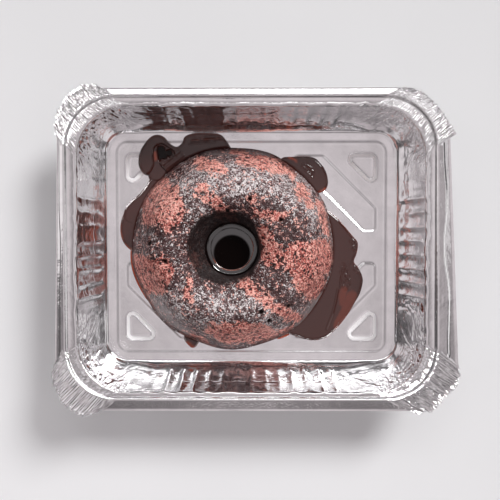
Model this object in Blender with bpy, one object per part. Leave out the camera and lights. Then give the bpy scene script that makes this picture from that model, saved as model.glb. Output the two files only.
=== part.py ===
"""Ring-shaped chocolate cake in the foil tray that it comes with.

The tray is a rectangular catering tray of crimped aluminium foil. The cake stands left of its middle,
and chocolate sauce has run down the cake's flutes: it fills the middle hole and lies in puddles on the
tray's floor. Metres, +Z up. The origin is on the ground, under the middle of the tray's outline.
"""
import math
import random

import bmesh
import bpy
from mathutils import Vector, noise
from mathutils.geometry import delaunay_2d_cdt

MM = 0.001
GAP = 0.3 * MM                      # air between pieces that touch

# Place of the middle of the tray's floor. The bent right flange reaches further than the left one.
FLOOR_PLACE = (-3.7 * MM, 0.9 * MM)

# Tray floor
SHEET = 0.6 * MM                    # foil, drawn thicker than the real 0.1 mm
PANEL_HALF = (123.0 * MM, 95.8 * MM)
PANEL_RADIUS = 8.0 * MM
STEP_WIDTH = 2.5 * MM               # slope from the sunken panel up to the border band
BAND_RISE = 1.2 * MM
FOOT_HALF = (135.0 * MM, 107.0 * MM)
FOOT_RADIUS = 19.5 * MM

# Ribs pressed into the four corners of the panel, each a rounded right-angled triangle
RIB_CORNER = (115.0 * MM, 85.5 * MM)
RIB_LEG = 30.0 * MM
RIB_BEND = 4.5 * MM
RIB_WIDTH = 3.2 * MM
RIB_RISE = 1.2 * MM

# Tray wall and rim. Left and right are given at the bottom and at the top of the picture side.
RIM_HEIGHT = 60.6 * MM
OPENING_LEFT = -145.5 * MM
OPENING_RIGHT = 145.2 * MM
OPENING_BOTTOM = -120.6 * MM
OPENING_TOP = 118.0 * MM
OPENING_RADIUS = 42.0 * MM
LEDGE_LEFT = -153.8 * MM
LEDGE_RIGHT = (153.6 * MM, 152.4 * MM)
LEDGE_BOTTOM = -124.4 * MM
LEDGE_TOP = 125.2 * MM
LEDGE_RADIUS = 41.0 * MM
LEDGE_STEP = 2.3 * MM               # height of the flange over the ledge
LEDGE_STEP_WIDTH = 0.8 * MM
FLANGE_LEFT = (-164.2 * MM, -160.8 * MM)
FLANGE_RIGHT = (173.0 * MM, 164.4 * MM)
FLANGE_BOTTOM = -135.8 * MM
FLANGE_TOP = 132.8 * MM
FLANGE_RADIUS = 38.0 * MM
FLANGE_FALL = 1.6 * MM              # the flange slopes down to its edge
LIP_DEPTH = 2.0 * MM                # turned-down edge

# Flutes pressed into the middle of each wall
FLUTE_PITCH = 12.2 * MM
FLUTE_COUNTS = (9, 14, 9, 14)       # right, top, left, bottom
FLUTE_DEPTH = 0.9 * MM              # either side of the plain wall
FLUTE_SPAN = (0.2, 0.78)            # shares of the wall's height between which they have this depth
FLUTE_DEPTH_AT_RIM = 0.27 * MM

# Pleats gathered into the rim's corners
CORNER_STEPS = 18
PLEAT_RISE = 0.8 * MM
PLEAT_RISE_ON_LEDGE = (0.4 * MM, 0.64 * MM)   # at the ledge's outer edge and on the step above it
PLEAT_REACH = 0.7 * MM
PLEAT_SEED = 5
# How far each gathered corner stands past the flange's arc, from its start to its end
EAR_REACH = (
    (5.0 * MM, -2.0 * MM, -2.5 * MM, -1.0 * MM, 0.5 * MM),
    (0.5 * MM, 5.5 * MM, 4.5 * MM, 3.0 * MM, 1.5 * MM),
    (1.5 * MM, 2.5 * MM, 4.5 * MM, 5.5 * MM, 0.8 * MM),
    (1.0 * MM, 2.5 * MM, -1.0 * MM, 2.0 * MM, 0.5 * MM),
)

# Cake
CAKE_PLACE = (-17.0 * MM, -1.2 * MM)   # in the tray, from the middle of its floor
CAKE_BASE = SHEET + GAP
CAKE_STEPS = 72
CAKE_RADIUS = 94.0 * MM
CAKE_HEIGHT = 62.0 * MM
CREST_RADIUS = 52.0 * MM
SHOULDER = (81.8 * MM, 26.0 * MM)   # top of the drafted side wall: radius, height
HOLE_RIM = (29.5 * MM, 49.0 * MM)
HOLE_NECK = (23.6 * MM, 31.0 * MM)
HOLE_BASE_RADIUS = 21.5 * MM
HOLE_LEAN = (-4.0 * MM, 1.6 * MM)   # the funnel's mouth lies off the neck's axis
FOOT_BEVEL = (1.2 * MM, 2.0 * MM)   # width and height of the slanted edge under the side wall
# Handles of the curves from the shoulder to the crest and from the crest to the hole's rim
DOME_HANDLES = ((74.5 * MM, 42.5 * MM), (69.0 * MM, CAKE_HEIGHT))
FUNNEL_HANDLES = ((41.0 * MM, CAKE_HEIGHT), (33.0 * MM, 57.0 * MM))
DOME_ROWS = 8
FUNNEL_ROWS = 6

# Flutes of the cake: half their depth at the foot, the shoulder, the crest and the hole's rim
LOBES = 9
LOBE_ANGLE = math.radians(28.0)     # direction of one ridge
LOBE_AT_FOOT = 0.8 * MM
LOBE_AT_SHOULDER = 1.7 * MM
LOBE_AT_CREST = 1.0 * MM
LOBE_AT_RIM = 0.4 * MM

# Uneven crust
SWELL_SIZE = 39.0 * MM
SWELL_DEPTH = 1.0 * MM
CRAG_SIZE = 13.0 * MM
CRAG_DEPTH = 0.8 * MM
CRAG_OFFSET = Vector((7.0, 3.0, 1.0))   # keeps the small lumps apart from the broad swellings

# Sauce
POOL_LEVEL = 29.0 * MM
POOL_STEPS = 36
MENISCUS_RISE = 2.0 * MM
MENISCUS_WIDTH = 3.6 * MM
PUDDLE_EDGE = 0.9 * MM              # height of a puddle's steep outer edge
PUDDLE_ROUND = 3.2 * MM             # width over which a puddle's edge rises to its level
PUDDLE_MESH = 7.0 * MM
PUDDLE_EDGE_ROW = 2.0 * MM          # distance of the first row of inner corners from the edge
PUDDLE_EDGE_ROOM = 1.8 * MM         # the least that this distance shrinks to in a bend
CREASE_REACH = 6.0 * MM             # how far round a puddle the floor's bends are taken in

# Angles past which two faces meet in an edge instead of a soft bend
FOIL_CREASE = math.radians(25.0)
FOOD_CREASE = math.radians(40.0)

FOIL_GREY = (0.78, 0.77, 0.78)
SPONGE_BROWN = (0.16, 0.045, 0.03)
SAUCE_BROWN = (0.035, 0.012, 0.009)
DEEP_SAUCE_BROWN = (0.018, 0.006, 0.005)

# Free edges of the puddles, from the middle of the tray's floor, in millimetres. The rest of each
# outline is the cake's foot between the two angles, in degrees.
RIGHT_PUDDLE = dict(
    level=4.2 * MM, foot=(-58, 24),
    edge=((78, 29), (86.5, 20), (95, 10), (99.5, 3), (98.5, -7), (96, -14), (101, -21), (104.5, -29),
          (103, -39), (99.5, -47), (93.5, -58), (86.5, -68.5), (78.5, -78), (71, -84.5), (62, -87),
          (52.5, -87), (44.5, -84.5)))
LEFT_LOBE = dict(
    level=4.0 * MM, foot=(157, 182),
    edge=((-112.5, -3), (-117.5, 1.5), (-121, 8), (-122.3, 16), (-121.5, 24), (-119, 31), (-115.5, 37)))
TOP_RIGHT_LOBE = dict(
    level=5.0 * MM, foot=(34, 62),
    edge=((30, 83.5), (39, 84), (50, 84.5), (59, 82.8), (65.5, 77), (70, 69), (71.6, 60), (69.5, 53.5),
          (64.5, 50.5)))
DRIP = dict(
    level=3.6 * MM, foot=(240, 250),
    edge=((-63, -86.5), (-60, -91), (-56.5, -94.3), (-53, -94.2), (-50.5, -91.8)))
BACK_SAUCE = dict(
    level=7.0 * MM, foot=(91, 131),
    edge=((-83.5, 73.5), (-86, 78.5), (-83, 82.5), (-79.5, 86), (-81, 91.5), (-85, 93.5), (-88.3, 91),
          (-89.4, 84.5), (-88.8, 76), (-92.5, 68.5), (-97.5, 66.5), (-102.5, 70.5), (-105, 78),
          (-103.5, 88), (-99, 96), (-93, 102.3), (-86.5, 104.3), (-80.5, 102), (-75.5, 96.5), (-69.5, 93.3),
          (-64.5, 96.5), (-61.5, 102.5), (-53, 105.6), (-40, 106), (-29, 104.6), (-23.5, 99.5), (-20, 94.2)))


def remove_start_objects():
    for old in list(bpy.data.objects):
        bpy.data.objects.remove(old, do_unlink=True)


def material(name, colour, roughness, metallic=0.0):
    made = bpy.data.materials.new(name)
    made.use_nodes = True
    shader = made.node_tree.nodes["Principled BSDF"]
    shader.inputs["Base Color"].default_value = (*colour, 1.0)
    shader.inputs["Roughness"].default_value = roughness
    shader.inputs["Metallic"].default_value = metallic
    return made


def add_object(name, shape, place, finish, crease):
    mesh = bpy.data.meshes.new(name)
    shape.to_mesh(mesh)
    shape.free()
    mesh.shade_smooth()
    mesh.set_sharp_from_angle(angle=crease)
    mesh.materials.append(finish)
    made = bpy.data.objects.new(name, mesh)
    made.location = (place[0], place[1], 0.0)
    bpy.context.scene.collection.objects.link(made)
    return made


def lerp(a, b, share):
    return a + (b - a) * share


def bezier(a, b, c, d, share):
    """Point of a cubic curve between a and d, with handles b and c."""
    rest = 1.0 - share
    weights = (rest ** 3, 3 * rest * rest * share, 3 * rest * share * share, share ** 3)
    return tuple(sum(w * p[axis] for w, p in zip(weights, (a, b, c, d))) for axis in range(2))


def rounded_polygon(corners, bend, offset, steps):
    """Polygon with round corners, counter-clockwise, moved outwards by offset."""
    points = []
    for index, corner in enumerate(corners):
        before = (Vector(corner) - Vector(corners[index - 1])).normalized()
        after = (Vector(corners[(index + 1) % len(corners)]) - Vector(corner)).normalized()
        turn = before.angle(after)
        inward = (after - before).normalized()
        centre = Vector(corner) + inward * (bend / math.cos(turn / 2))
        start = math.atan2(-before.x, before.y)
        for step in range(steps + 1):
            angle = start + turn * step / steps
            points.append(centre + Vector((math.cos(angle), math.sin(angle))) * (bend + offset))
    return points


def rib_line(sign_x, sign_y, offset):
    """One line of a corner rib: its middle, or either edge."""
    x = sign_x * RIB_CORNER[0]
    y = sign_y * RIB_CORNER[1]
    corners = [(x, y), (x - sign_x * RIB_LEG, y), (x, y - sign_y * RIB_LEG)]
    if sign_x * sign_y < 0:
        corners.reverse()
    return rounded_polygon(corners, RIB_BEND, offset, 4)


RIB_SIGNS = ((1, 1), (-1, 1), (-1, -1), (1, -1))


def distance_to_line(point, line):
    """Distance from a point to a closed line of straight pieces."""
    nearest = math.inf
    for index, end in enumerate(line):
        start = line[index - 1]
        along = end - start
        share = max(0.0, min(1.0, (point - start).dot(along) / along.length_squared))
        nearest = min(nearest, (point - start - along * share).length)
    return nearest


def inside_line(point, line):
    """Whether a point is inside a closed line."""
    inside = False
    for index, end in enumerate(line):
        start = line[index - 1]
        if (start.y > point.y) != (end.y > point.y):
            crossing = start.x + (point.y - start.y) / (end.y - start.y) * (end.x - start.x)
            if point.x < crossing:
                inside = not inside
    return inside


class Ring:
    """One closed line round the tray: four straight runs joined by four arcs.

    left and right hold the x at the bottom end and at the top end of that side.
    """

    def __init__(self, left, right, bottom, top, radius):
        self.radius = radius
        self.centres = (
            (right[1] - radius, top - radius), (left[1] + radius, top - radius),
            (left[0] + radius, bottom + radius), (right[0] - radius, bottom + radius))

    @classmethod
    def even(cls, half, radius):
        return cls((-half[0], -half[0]), (half[0], half[0]), -half[1], half[1], radius)

    @classmethod
    def between(cls, low, high, share):
        """Ring of the straight wall between a low ring and a high one."""
        made = cls.even((0.0, 0.0), lerp(low.radius, high.radius, share))
        made.centres = tuple((lerp(a[0], b[0], share), lerp(a[1], b[1], share))
                             for a, b in zip(low.centres, high.centres))
        return made

    def corner_point(self, corner, share, reach=0.0):
        angle = math.pi / 2 * (corner + share)
        centre = self.centres[corner]
        radius = self.radius + reach
        return Vector((centre[0] + radius * math.cos(angle), centre[1] + radius * math.sin(angle)))

    def side_point(self, side, kind, value):
        """Point on the right, top, left or bottom run, at a distance from the floor's middle line
        or at a share of the stretch between the flutes and the run's end."""
        start = self.corner_point((side + 3) % 4, 1.0)
        end = self.corner_point(side, 0.0)
        direction = SIDE_DIRECTIONS[side]
        first = start.dot(direction)
        last = end.dot(direction)
        along = value
        if kind == "run":
            zone = flute_zone(side)
            along = lerp(-zone, first, -value) if value < 0 else lerp(zone, last, value)
        return start.lerp(end, (along - first) / (last - first))


SIDE_DIRECTIONS = (Vector((0, 1)), Vector((-1, 0)), Vector((0, -1)), Vector((1, 0)))


def flute_zone(side):
    """Half the length of the fluted stretch of a wall."""
    return FLUTE_PITCH * FLUTE_COUNTS[side] / 2


def make_stations():
    """Places round the tray, counter-clockwise from the right wall: (kind, side, value, wave)."""
    stations = []
    for side in range(4):
        stations.append(("run", side, -0.5, 0))
        count = FLUTE_COUNTS[side]
        for index in range(2 * count + 1):
            wave = 0 if index in (0, 2 * count) else (1 if index % 2 else -1)
            stations.append(("flute", side, -flute_zone(side) + index * FLUTE_PITCH / 2, wave))
        stations.append(("run", side, 0.5, 0))
        for index in range(CORNER_STEPS + 1):
            wave = 0 if index in (0, CORNER_STEPS) else (1 if index % 2 else -1)
            stations.append(("corner", side, index / CORNER_STEPS, wave))
    return stations


def ear_reach(corner, share):
    """How far the gathered corner stands out past the flange's arc."""
    reaches = EAR_REACH[corner]
    place = share * (len(reaches) - 1)
    index = min(int(place), len(reaches) - 2)
    return lerp(reaches[index], reaches[index + 1], place - index)


def outward(station):
    kind, side, value, _ = station
    if kind == "corner":
        angle = math.pi / 2 * (side + value)
        return Vector((math.cos(angle), math.sin(angle)))
    direction = SIDE_DIRECTIONS[side]
    return Vector((direction.y, -direction.x))


def ring_line(ring, stations, flutes=0.0, ears=0.0, jitter=None):
    """Points of one ring at all stations, pushed by flutes on the sides and ears at the corners."""
    line = []
    for station in stations:
        kind, side, value, wave = station
        if kind == "corner":
            reach = ears * ear_reach(side, value)
            if jitter and wave:
                reach += wave * PLEAT_REACH + jitter.uniform(-1.0, 1.0) * PLEAT_REACH
            line.append(ring.corner_point(side, value, reach))
        else:
            point = ring.side_point(side, kind, value)
            if kind == "flute":
                point = point + outward(station) * (wave * flutes)
            line.append(point)
    return line


def tray_rings():
    """Rings of the tray's upper face from the floor panel out to the lip.

    Each is (points, height, pleat height, offset of the lower face as shares of the sheet outwards
    and downwards).
    """
    stations = make_stations()
    jitter = random.Random(PLEAT_SEED)
    floor_top = SHEET + BAND_RISE
    step_half = tuple(size + STEP_WIDTH for size in PANEL_HALF)
    foot = Ring.even(FOOT_HALF, FOOT_RADIUS)
    opening = Ring((OPENING_LEFT, OPENING_LEFT), (OPENING_RIGHT, OPENING_RIGHT), OPENING_BOTTOM,
                   OPENING_TOP, OPENING_RADIUS)
    ledge = Ring((LEDGE_LEFT, LEDGE_LEFT), LEDGE_RIGHT, LEDGE_BOTTOM, LEDGE_TOP, LEDGE_RADIUS)
    flange = Ring(FLANGE_LEFT, FLANGE_RIGHT, FLANGE_BOTTOM, FLANGE_TOP, FLANGE_RADIUS)
    low, high = FLUTE_SPAN
    flange_inner = RIM_HEIGHT + LEDGE_STEP
    flange_outer = flange_inner - FLANGE_FALL
    edge = ring_line(flange, stations, ears=1.0, jitter=jitter)
    step_foot = ring_line(ledge, stations)
    step_top = [point + outward(station) * LEDGE_STEP_WIDTH for point, station in zip(step_foot, stations)]
    rings = [
        (ring_line(Ring.even(PANEL_HALF, PANEL_RADIUS), stations), SHEET, 0.0, (0, 1)),
        (ring_line(Ring.even(step_half, PANEL_RADIUS + STEP_WIDTH), stations), floor_top, 0.0, (0, 1)),
        (ring_line(foot, stations), floor_top, 0.0, (1, 1)),
        (ring_line(Ring.between(foot, opening, low), stations, FLUTE_DEPTH),
         lerp(floor_top, RIM_HEIGHT, low), 0.0, (1, 0)),
        (ring_line(Ring.between(foot, opening, high), stations, FLUTE_DEPTH),
         lerp(floor_top, RIM_HEIGHT, high), 0.0, (1, 0)),
        (ring_line(opening, stations, FLUTE_DEPTH_AT_RIM), RIM_HEIGHT, 0.0, (1, 1)),
        (step_foot, RIM_HEIGHT, PLEAT_RISE_ON_LEDGE[0], (1, 1)),
        (step_top, flange_inner, PLEAT_RISE_ON_LEDGE[1], (1, 1)),
        (edge, flange_outer, PLEAT_RISE, (-1, 1)),
        (edge, flange_outer - LIP_DEPTH, PLEAT_RISE, (-1, 0)),
    ]
    return stations, rings


def floor_creases():
    """The lines where the floor's upper face bends: the panel's step and the corner ribs."""
    stations = make_stations()
    step_half = tuple(size + STEP_WIDTH for size in PANEL_HALF)
    lines = [ring_line(Ring.even(PANEL_HALF, PANEL_RADIUS), stations),
             ring_line(Ring.even(step_half, PANEL_RADIUS + STEP_WIDTH), stations)]
    for signs in RIB_SIGNS:
        lines += [rib_line(*signs, offset) for offset in (-RIB_WIDTH / 2, 0.0, RIB_WIDTH / 2)]
    return lines


RIB_MIDDLES = [rib_line(*signs, 0.0) for signs in RIB_SIGNS]


def floor_height(point):
    """Height of the floor's upper face."""
    beyond_x = abs(point.x) - (PANEL_HALF[0] - PANEL_RADIUS)
    beyond_y = abs(point.y) - (PANEL_HALF[1] - PANEL_RADIUS)
    outside = math.hypot(max(beyond_x, 0.0), max(beyond_y, 0.0)) + min(max(beyond_x, beyond_y), 0.0)
    share = max(0.0, min(1.0, (outside - PANEL_RADIUS) / STEP_WIDTH))
    near = min(distance_to_line(point, line) for line in RIB_MIDDLES)
    rib = RIB_RISE * max(0.0, 1.0 - near / (RIB_WIDTH / 2))
    return SHEET + BAND_RISE * share + rib


def triangulate(points, edges):
    """Triangles over the points, with the edges kept: (all points, faces, index of each given point)."""
    found, _, faces, origins, _, _ = delaunay_2d_cdt(points, edges, [], 0, 1e-7)
    place = {}
    for index, sources in enumerate(origins):
        for source in sources:
            place[source] = index
    return found, faces, place


def closed_edges(start, count):
    return [(start + index, start + (index + 1) % count) for index in range(count)]


def add_floor(shape, edge_points, edge_verts, drop):
    """Ribbed floor panel inside the tray's first ring."""
    points = list(edge_points)
    edges = closed_edges(0, len(points))
    for signs in RIB_SIGNS:
        for offset in (-RIB_WIDTH / 2, 0.0, RIB_WIDTH / 2):
            line = rib_line(*signs, offset)
            edges += closed_edges(len(points), len(line))
            points += line
    found, faces, place = triangulate(points, edges)
    verts = {place[index]: vert for index, vert in enumerate(edge_verts)}
    for index, point in enumerate(found):
        if index not in verts:
            verts[index] = shape.verts.new((point.x, point.y, floor_height(point) - drop))
    for face in faces:
        corners = [verts[index] for index in face]
        centre = sum((found[index] for index in face), Vector((0.0, 0.0))) / len(face)
        if inside_line(centre, edge_points):
            shape.faces.new(corners if not drop else corners[::-1])


def join_rings(shape, low, high, flip=False):
    """Quads between two rings of the same number of corners."""
    count = len(low)
    for index in range(count):
        after = (index + 1) % count
        corners = [low[index], high[index], high[after], low[after]]
        shape.faces.new(corners[::-1] if flip else corners)


def build_tray(finish):
    stations, rings = tray_rings()
    shape = bmesh.new()
    upper = []
    lower = []
    for points, height, pleat, (out, down) in rings:
        top = []
        under = []
        for point, station in zip(points, stations):
            rise = station[3] * pleat if station[0] == "corner" else 0.0
            moved = point + outward(station) * (SHEET * out)
            top.append(shape.verts.new((point.x, point.y, height + rise)))
            under.append(shape.verts.new((moved.x, moved.y, height + rise - SHEET * down)))
        upper.append(top)
        lower.append(under)
    for index in range(len(rings) - 1):
        join_rings(shape, upper[index], upper[index + 1], flip=True)
        join_rings(shape, lower[index], lower[index + 1])
    join_rings(shape, upper[-1], lower[-1], flip=True)
    add_floor(shape, rings[0][0], upper[0], 0.0)
    add_floor(shape, rings[0][0], lower[0], SHEET)
    bmesh.ops.recalc_face_normals(shape, faces=shape.faces)
    return add_object("foil_tray", shape, FLOOR_PLACE, finish, FOIL_CREASE)


def lobe(angle):
    """1 on a ridge of the cake, -1 in a flute."""
    return math.cos(LOBES * (angle - LOBE_ANGLE))


def cake_profile():
    """Rows of the cake from the outer foot over the crest to the foot of the hole.

    Each is (radius, height, depth of the flutes, share of the crags, share of the hole's lean).
    """
    rows = [(CAKE_RADIUS - FOOT_BEVEL[0], CAKE_BASE, LOBE_AT_FOOT, 0.0, 0.0),
            (CAKE_RADIUS, CAKE_BASE + FOOT_BEVEL[1], LOBE_AT_FOOT, 0.0, 0.0)]
    for share in (0.35, 0.7):
        rows.append((lerp(CAKE_RADIUS, SHOULDER[0], share), lerp(CAKE_BASE, SHOULDER[1], share),
                     lerp(LOBE_AT_FOOT, LOBE_AT_SHOULDER, share), share, 0.0))
    crest = (CREST_RADIUS, CAKE_HEIGHT)
    for step in range(DOME_ROWS + 1):
        share = step / DOME_ROWS
        radius, height = bezier(SHOULDER, *DOME_HANDLES, crest, share)
        rows.append((radius, height, lerp(LOBE_AT_SHOULDER, LOBE_AT_CREST, share), 1.0, 0.0))
    for step in range(1, FUNNEL_ROWS + 1):
        share = step / FUNNEL_ROWS
        radius, height = bezier(crest, *FUNNEL_HANDLES, HOLE_RIM, share)
        rows.append((radius, height, lerp(LOBE_AT_CREST, LOBE_AT_RIM, share), lerp(1.0, 0.5, share), share))
    middle = (lerp(HOLE_RIM[0], HOLE_NECK[0], 0.6), lerp(HOLE_RIM[1], HOLE_NECK[1], 0.5))
    rows.append((*middle, 0.0, 0.2, 0.5))
    rows.append((*HOLE_NECK, 0.0, 0.0, 0.0))
    rows.append((HOLE_BASE_RADIUS, CAKE_BASE, 0.0, 0.0, 0.0))
    return rows


def crags(point):
    """Uneven crust: broad swellings with small lumps on them."""
    broad = noise.noise(Vector(point) / SWELL_SIZE)
    small = noise.noise(Vector(point) / CRAG_SIZE + CRAG_OFFSET)
    return SWELL_DEPTH * broad + CRAG_DEPTH * small


def build_cake(finish):
    shape = bmesh.new()
    rings = []
    for radius, height, flute, crag, lean in cake_profile():
        ring = []
        for step in range(CAKE_STEPS):
            angle = 2 * math.pi * step / CAKE_STEPS
            direction = (math.cos(angle), math.sin(angle))
            flat = radius + flute * lobe(angle)
            start = (flat * direction[0], flat * direction[1], height)
            swell = crag * crags(start)
            reach = flat + swell
            ring.append(shape.verts.new((
                reach * direction[0] + lean * HOLE_LEAN[0], reach * direction[1] + lean * HOLE_LEAN[1],
                height + swell * min(1.0, height / CAKE_HEIGHT))))
        rings.append(ring)
    for index in range(len(rings)):
        join_rings(shape, rings[index - 1], rings[index])
    bmesh.ops.recalc_face_normals(shape, faces=shape.faces)
    place = (FLOOR_PLACE[0] + CAKE_PLACE[0], FLOOR_PLACE[1] + CAKE_PLACE[1])
    return add_object("cake", shape, place, finish, FOOD_CREASE)


def build_pool(finish):
    """Sauce that fills the hole, with its edge drawn up against the crust."""
    edge_height = POOL_LEVEL + MENISCUS_RISE
    neck_share = (edge_height - CAKE_BASE) / (HOLE_NECK[1] - CAKE_BASE)
    edge_radius = lerp(HOLE_BASE_RADIUS, HOLE_NECK[0], min(1.0, neck_share)) - GAP
    rows = [(HOLE_BASE_RADIUS - GAP, CAKE_BASE), (edge_radius, edge_height)]
    meniscus_steps = 4
    for step in range(1, meniscus_steps + 1):
        share = step / meniscus_steps
        rows.append((edge_radius - MENISCUS_WIDTH * share,
                     POOL_LEVEL + MENISCUS_RISE * (1.0 - share) ** 2))
    shape = bmesh.new()
    rings = []
    for radius, height in rows:
        turn = [2 * math.pi * step / POOL_STEPS for step in range(POOL_STEPS)]
        rings.append([shape.verts.new((radius * math.cos(a), radius * math.sin(a), height)) for a in turn])
    for low, high in zip(rings, rings[1:]):
        join_rings(shape, low, high)
    shape.faces.new(rings[0])
    shape.faces.new(rings[-1])
    bmesh.ops.recalc_face_normals(shape, faces=shape.faces)
    place = (FLOOR_PLACE[0] + CAKE_PLACE[0], FLOOR_PLACE[1] + CAKE_PLACE[1])
    return add_object("sauce_pool", shape, place, finish, FOOD_CREASE)


def foot_line(start, end):
    """The cake's foot, a gap outside it, between two of its own corners."""
    step = 360 // CAKE_STEPS
    first = math.ceil(start / step)
    last = math.floor(end / step)
    points = []
    for index in range(first, last + 1):
        angle = math.radians(index * step)
        radius = CAKE_RADIUS + LOBE_AT_FOOT * lobe(angle) + 2 * GAP
        points.append(Vector((CAKE_PLACE[0] + radius * math.cos(angle),
                              CAKE_PLACE[1] + radius * math.sin(angle))))
    return points


def puddle_outline(sauce):
    """Closed outline, counter-clockwise: the free edge, then back along the cake's foot."""
    free = [Vector((x * MM, y * MM)) for x, y in sauce["edge"]]
    foot = foot_line(*sauce["foot"])
    if (free[-1] - foot[0]).length > (free[-1] - foot[-1]).length:
        foot.reverse()
    line = free + foot
    area = sum(a.x * b.y - b.x * a.y for a, b in zip(line, line[1:] + line[:1]))
    return line if area > 0 else line[::-1]


def inner_points(outline):
    """Points inside a puddle: a row near its edge, then an even grid."""
    points = []
    count = len(outline)
    for index in range(count):
        before = outline[index - 1]
        after = outline[(index + 1) % count]
        along = (after - before).normalized()
        candidate = outline[index] + Vector((-along.y, along.x)) * PUDDLE_EDGE_ROW
        if inside_line(candidate, outline) and distance_to_line(candidate, outline) > PUDDLE_EDGE_ROOM:
            points.append(candidate)
    low = [min(point[axis] for point in outline) for axis in range(2)]
    high = [max(point[axis] for point in outline) for axis in range(2)]
    for row in range(int((high[1] - low[1]) / PUDDLE_MESH) + 1):
        for column in range(int((high[0] - low[0]) / PUDDLE_MESH) + 1):
            shift = 0.5 * (row % 2)
            candidate = Vector((low[0] + (column + shift) * PUDDLE_MESH, low[1] + row * PUDDLE_MESH))
            if inside_line(candidate, outline) and distance_to_line(candidate, outline) > PUDDLE_ROUND:
                points.append(candidate)
    return points


def crossing_creases(outline, points, edges):
    """Adds the stretches of the floor's bends that run near a puddle."""
    low = [min(point[axis] for point in outline) - CREASE_REACH for axis in range(2)]
    high = [max(point[axis] for point in outline) + CREASE_REACH for axis in range(2)]
    for line in floor_creases():
        for index, end in enumerate(line):
            start = line[index - 1]
            near = [all(low[axis] < point[axis] < high[axis] for axis in range(2)) for point in (start, end)]
            if any(near):
                edges.append((len(points), len(points) + 1))
                points += [start, end]


def build_puddle(name, sauce, finish):
    """Sauce on the floor: level on top, rounded at its edge, its underside a gap above the foil."""
    outline = puddle_outline(sauce)
    points = list(outline)
    edges = closed_edges(0, len(points))
    points += inner_points(outline)
    crossing_creases(outline, points, edges)
    found, faces, _ = triangulate(points, edges)
    shape = bmesh.new()
    top = {}
    under = {}
    kept = []
    for face in faces:
        centre = sum((found[index] for index in face), Vector((0.0, 0.0))) / 3
        if inside_line(centre, outline):
            kept.append(face)
    for index in sorted({index for face in kept for index in face}):
        point = found[index]
        base = floor_height(point) + GAP
        share = min(1.0, distance_to_line(point, outline) / PUDDLE_ROUND)
        rounding = math.sqrt(max(0.0, 1.0 - (1.0 - share) ** 2))
        under[index] = shape.verts.new((point.x, point.y, base))
        top[index] = shape.verts.new((point.x, point.y, lerp(base + PUDDLE_EDGE, sauce["level"], rounding)))
    sides = {}
    for face in kept:
        shape.faces.new([top[index] for index in face])
        shape.faces.new([under[index] for index in reversed(face)])
        for a, b in zip(face, face[1:] + face[:1]):
            sides[(a, b)] = True
    for a, b in sides:
        if (b, a) not in sides:
            shape.faces.new([under[a], under[b], top[b], top[a]])
    bmesh.ops.recalc_face_normals(shape, faces=shape.faces)
    return add_object(name, shape, FLOOR_PLACE, finish, FOOD_CREASE)


def main():
    remove_start_objects()
    build_tray(material("foil", FOIL_GREY, 0.25, metallic=1.0))
    build_cake(material("chocolate_sponge", SPONGE_BROWN, 0.8))
    build_pool(material("sauce_in_hole", DEEP_SAUCE_BROWN, 0.1))
    puddles = {
        "sauce_right": RIGHT_PUDDLE, "sauce_left": LEFT_LOBE, "sauce_top_right": TOP_RIGHT_LOBE,
        "sauce_back": BACK_SAUCE, "sauce_drip": DRIP}
    for name, sauce in puddles.items():
        build_puddle(name, sauce, material(name + "_gloss", SAUCE_BROWN, 0.12))


main()
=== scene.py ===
import math
import random

import bpy
import numpy as np
from mathutils import Matrix, Vector
from mathutils.geometry import delaunay_2d_cdt


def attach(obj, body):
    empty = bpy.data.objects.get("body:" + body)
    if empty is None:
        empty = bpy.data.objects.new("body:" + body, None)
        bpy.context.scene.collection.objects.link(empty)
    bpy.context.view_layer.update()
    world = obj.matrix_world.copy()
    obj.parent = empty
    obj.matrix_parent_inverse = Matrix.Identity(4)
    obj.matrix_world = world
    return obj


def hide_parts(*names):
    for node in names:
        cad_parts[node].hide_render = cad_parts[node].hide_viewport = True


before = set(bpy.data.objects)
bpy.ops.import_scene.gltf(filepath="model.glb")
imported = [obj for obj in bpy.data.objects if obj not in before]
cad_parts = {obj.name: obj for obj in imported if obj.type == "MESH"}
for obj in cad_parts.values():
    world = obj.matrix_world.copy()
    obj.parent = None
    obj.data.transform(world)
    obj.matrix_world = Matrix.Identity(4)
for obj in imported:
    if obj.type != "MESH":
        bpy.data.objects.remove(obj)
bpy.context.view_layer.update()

MM = 0.001


def mm(*lengths):
    """Lengths given in millimetres, in metres."""
    return tuple(length * MM for length in lengths)


FLOOR_PLACE = mm(-3.7, 0.9)  # the middle of the tray's floor in the frame

# Tray floor
FOIL = 0.25 * MM  # thickness of the floor as drawn
FOIL_BACK = 0.45 * MM  # between the front and the back of the walls and rim
PANEL_TOP = 1.45 * MM
PANEL_HALF = mm(123.0, 95.8)
PANEL_RADIUS = 8.0 * MM
STEP_WIDTH = 3.6 * MM
BAND_TOP = 2.9 * MM
BAND_TILT = 0.08  # slope of the floor between its step and the wall's foot
BAND_RUN = 5.0 * MM
FOOT_HALF = mm(135.0, 107.0)
FOOT_RADIUS = 19.5 * MM
FLOOR_MESH = 1.05 * MM
COARSE = 5  # how much wider the mesh is under the cake
MESH_GAP = 2 * MM  # between the fine mesh and the coarse one
EDGE_FADE = 6 * MM  # the dents fade over this width to the floor's edge

# Corners of the rib and of the sunken slanting band in the quarter at +X +Y, and their round bends
RIB_CORNERS = (mm(115.0, 85.5), mm(85.0, 85.5), mm(115.0, 55.5))
RIB_BEND = 4.5 * MM
RIB_WIDTH = 5.4 * MM
# Distances from the ribs' middle line where their painted white highlight has faded out and where it is full
RIB_HIGHLIGHT_EDGES = (0.42 * RIB_WIDTH, 0.26 * RIB_WIDTH)
RIB_RISE = 0.62 * MM
BAND_CORNERS = (mm(115.5, 36.0), mm(66.5, 85.0), mm(34.5, 85.0), mm(104.5, 15.0), mm(115.5, 15.0))
BAND_BEND = 4.0 * MM
BAND_SINK = 1.0 * MM
BAND_SLOPE = 3.6 * MM

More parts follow.
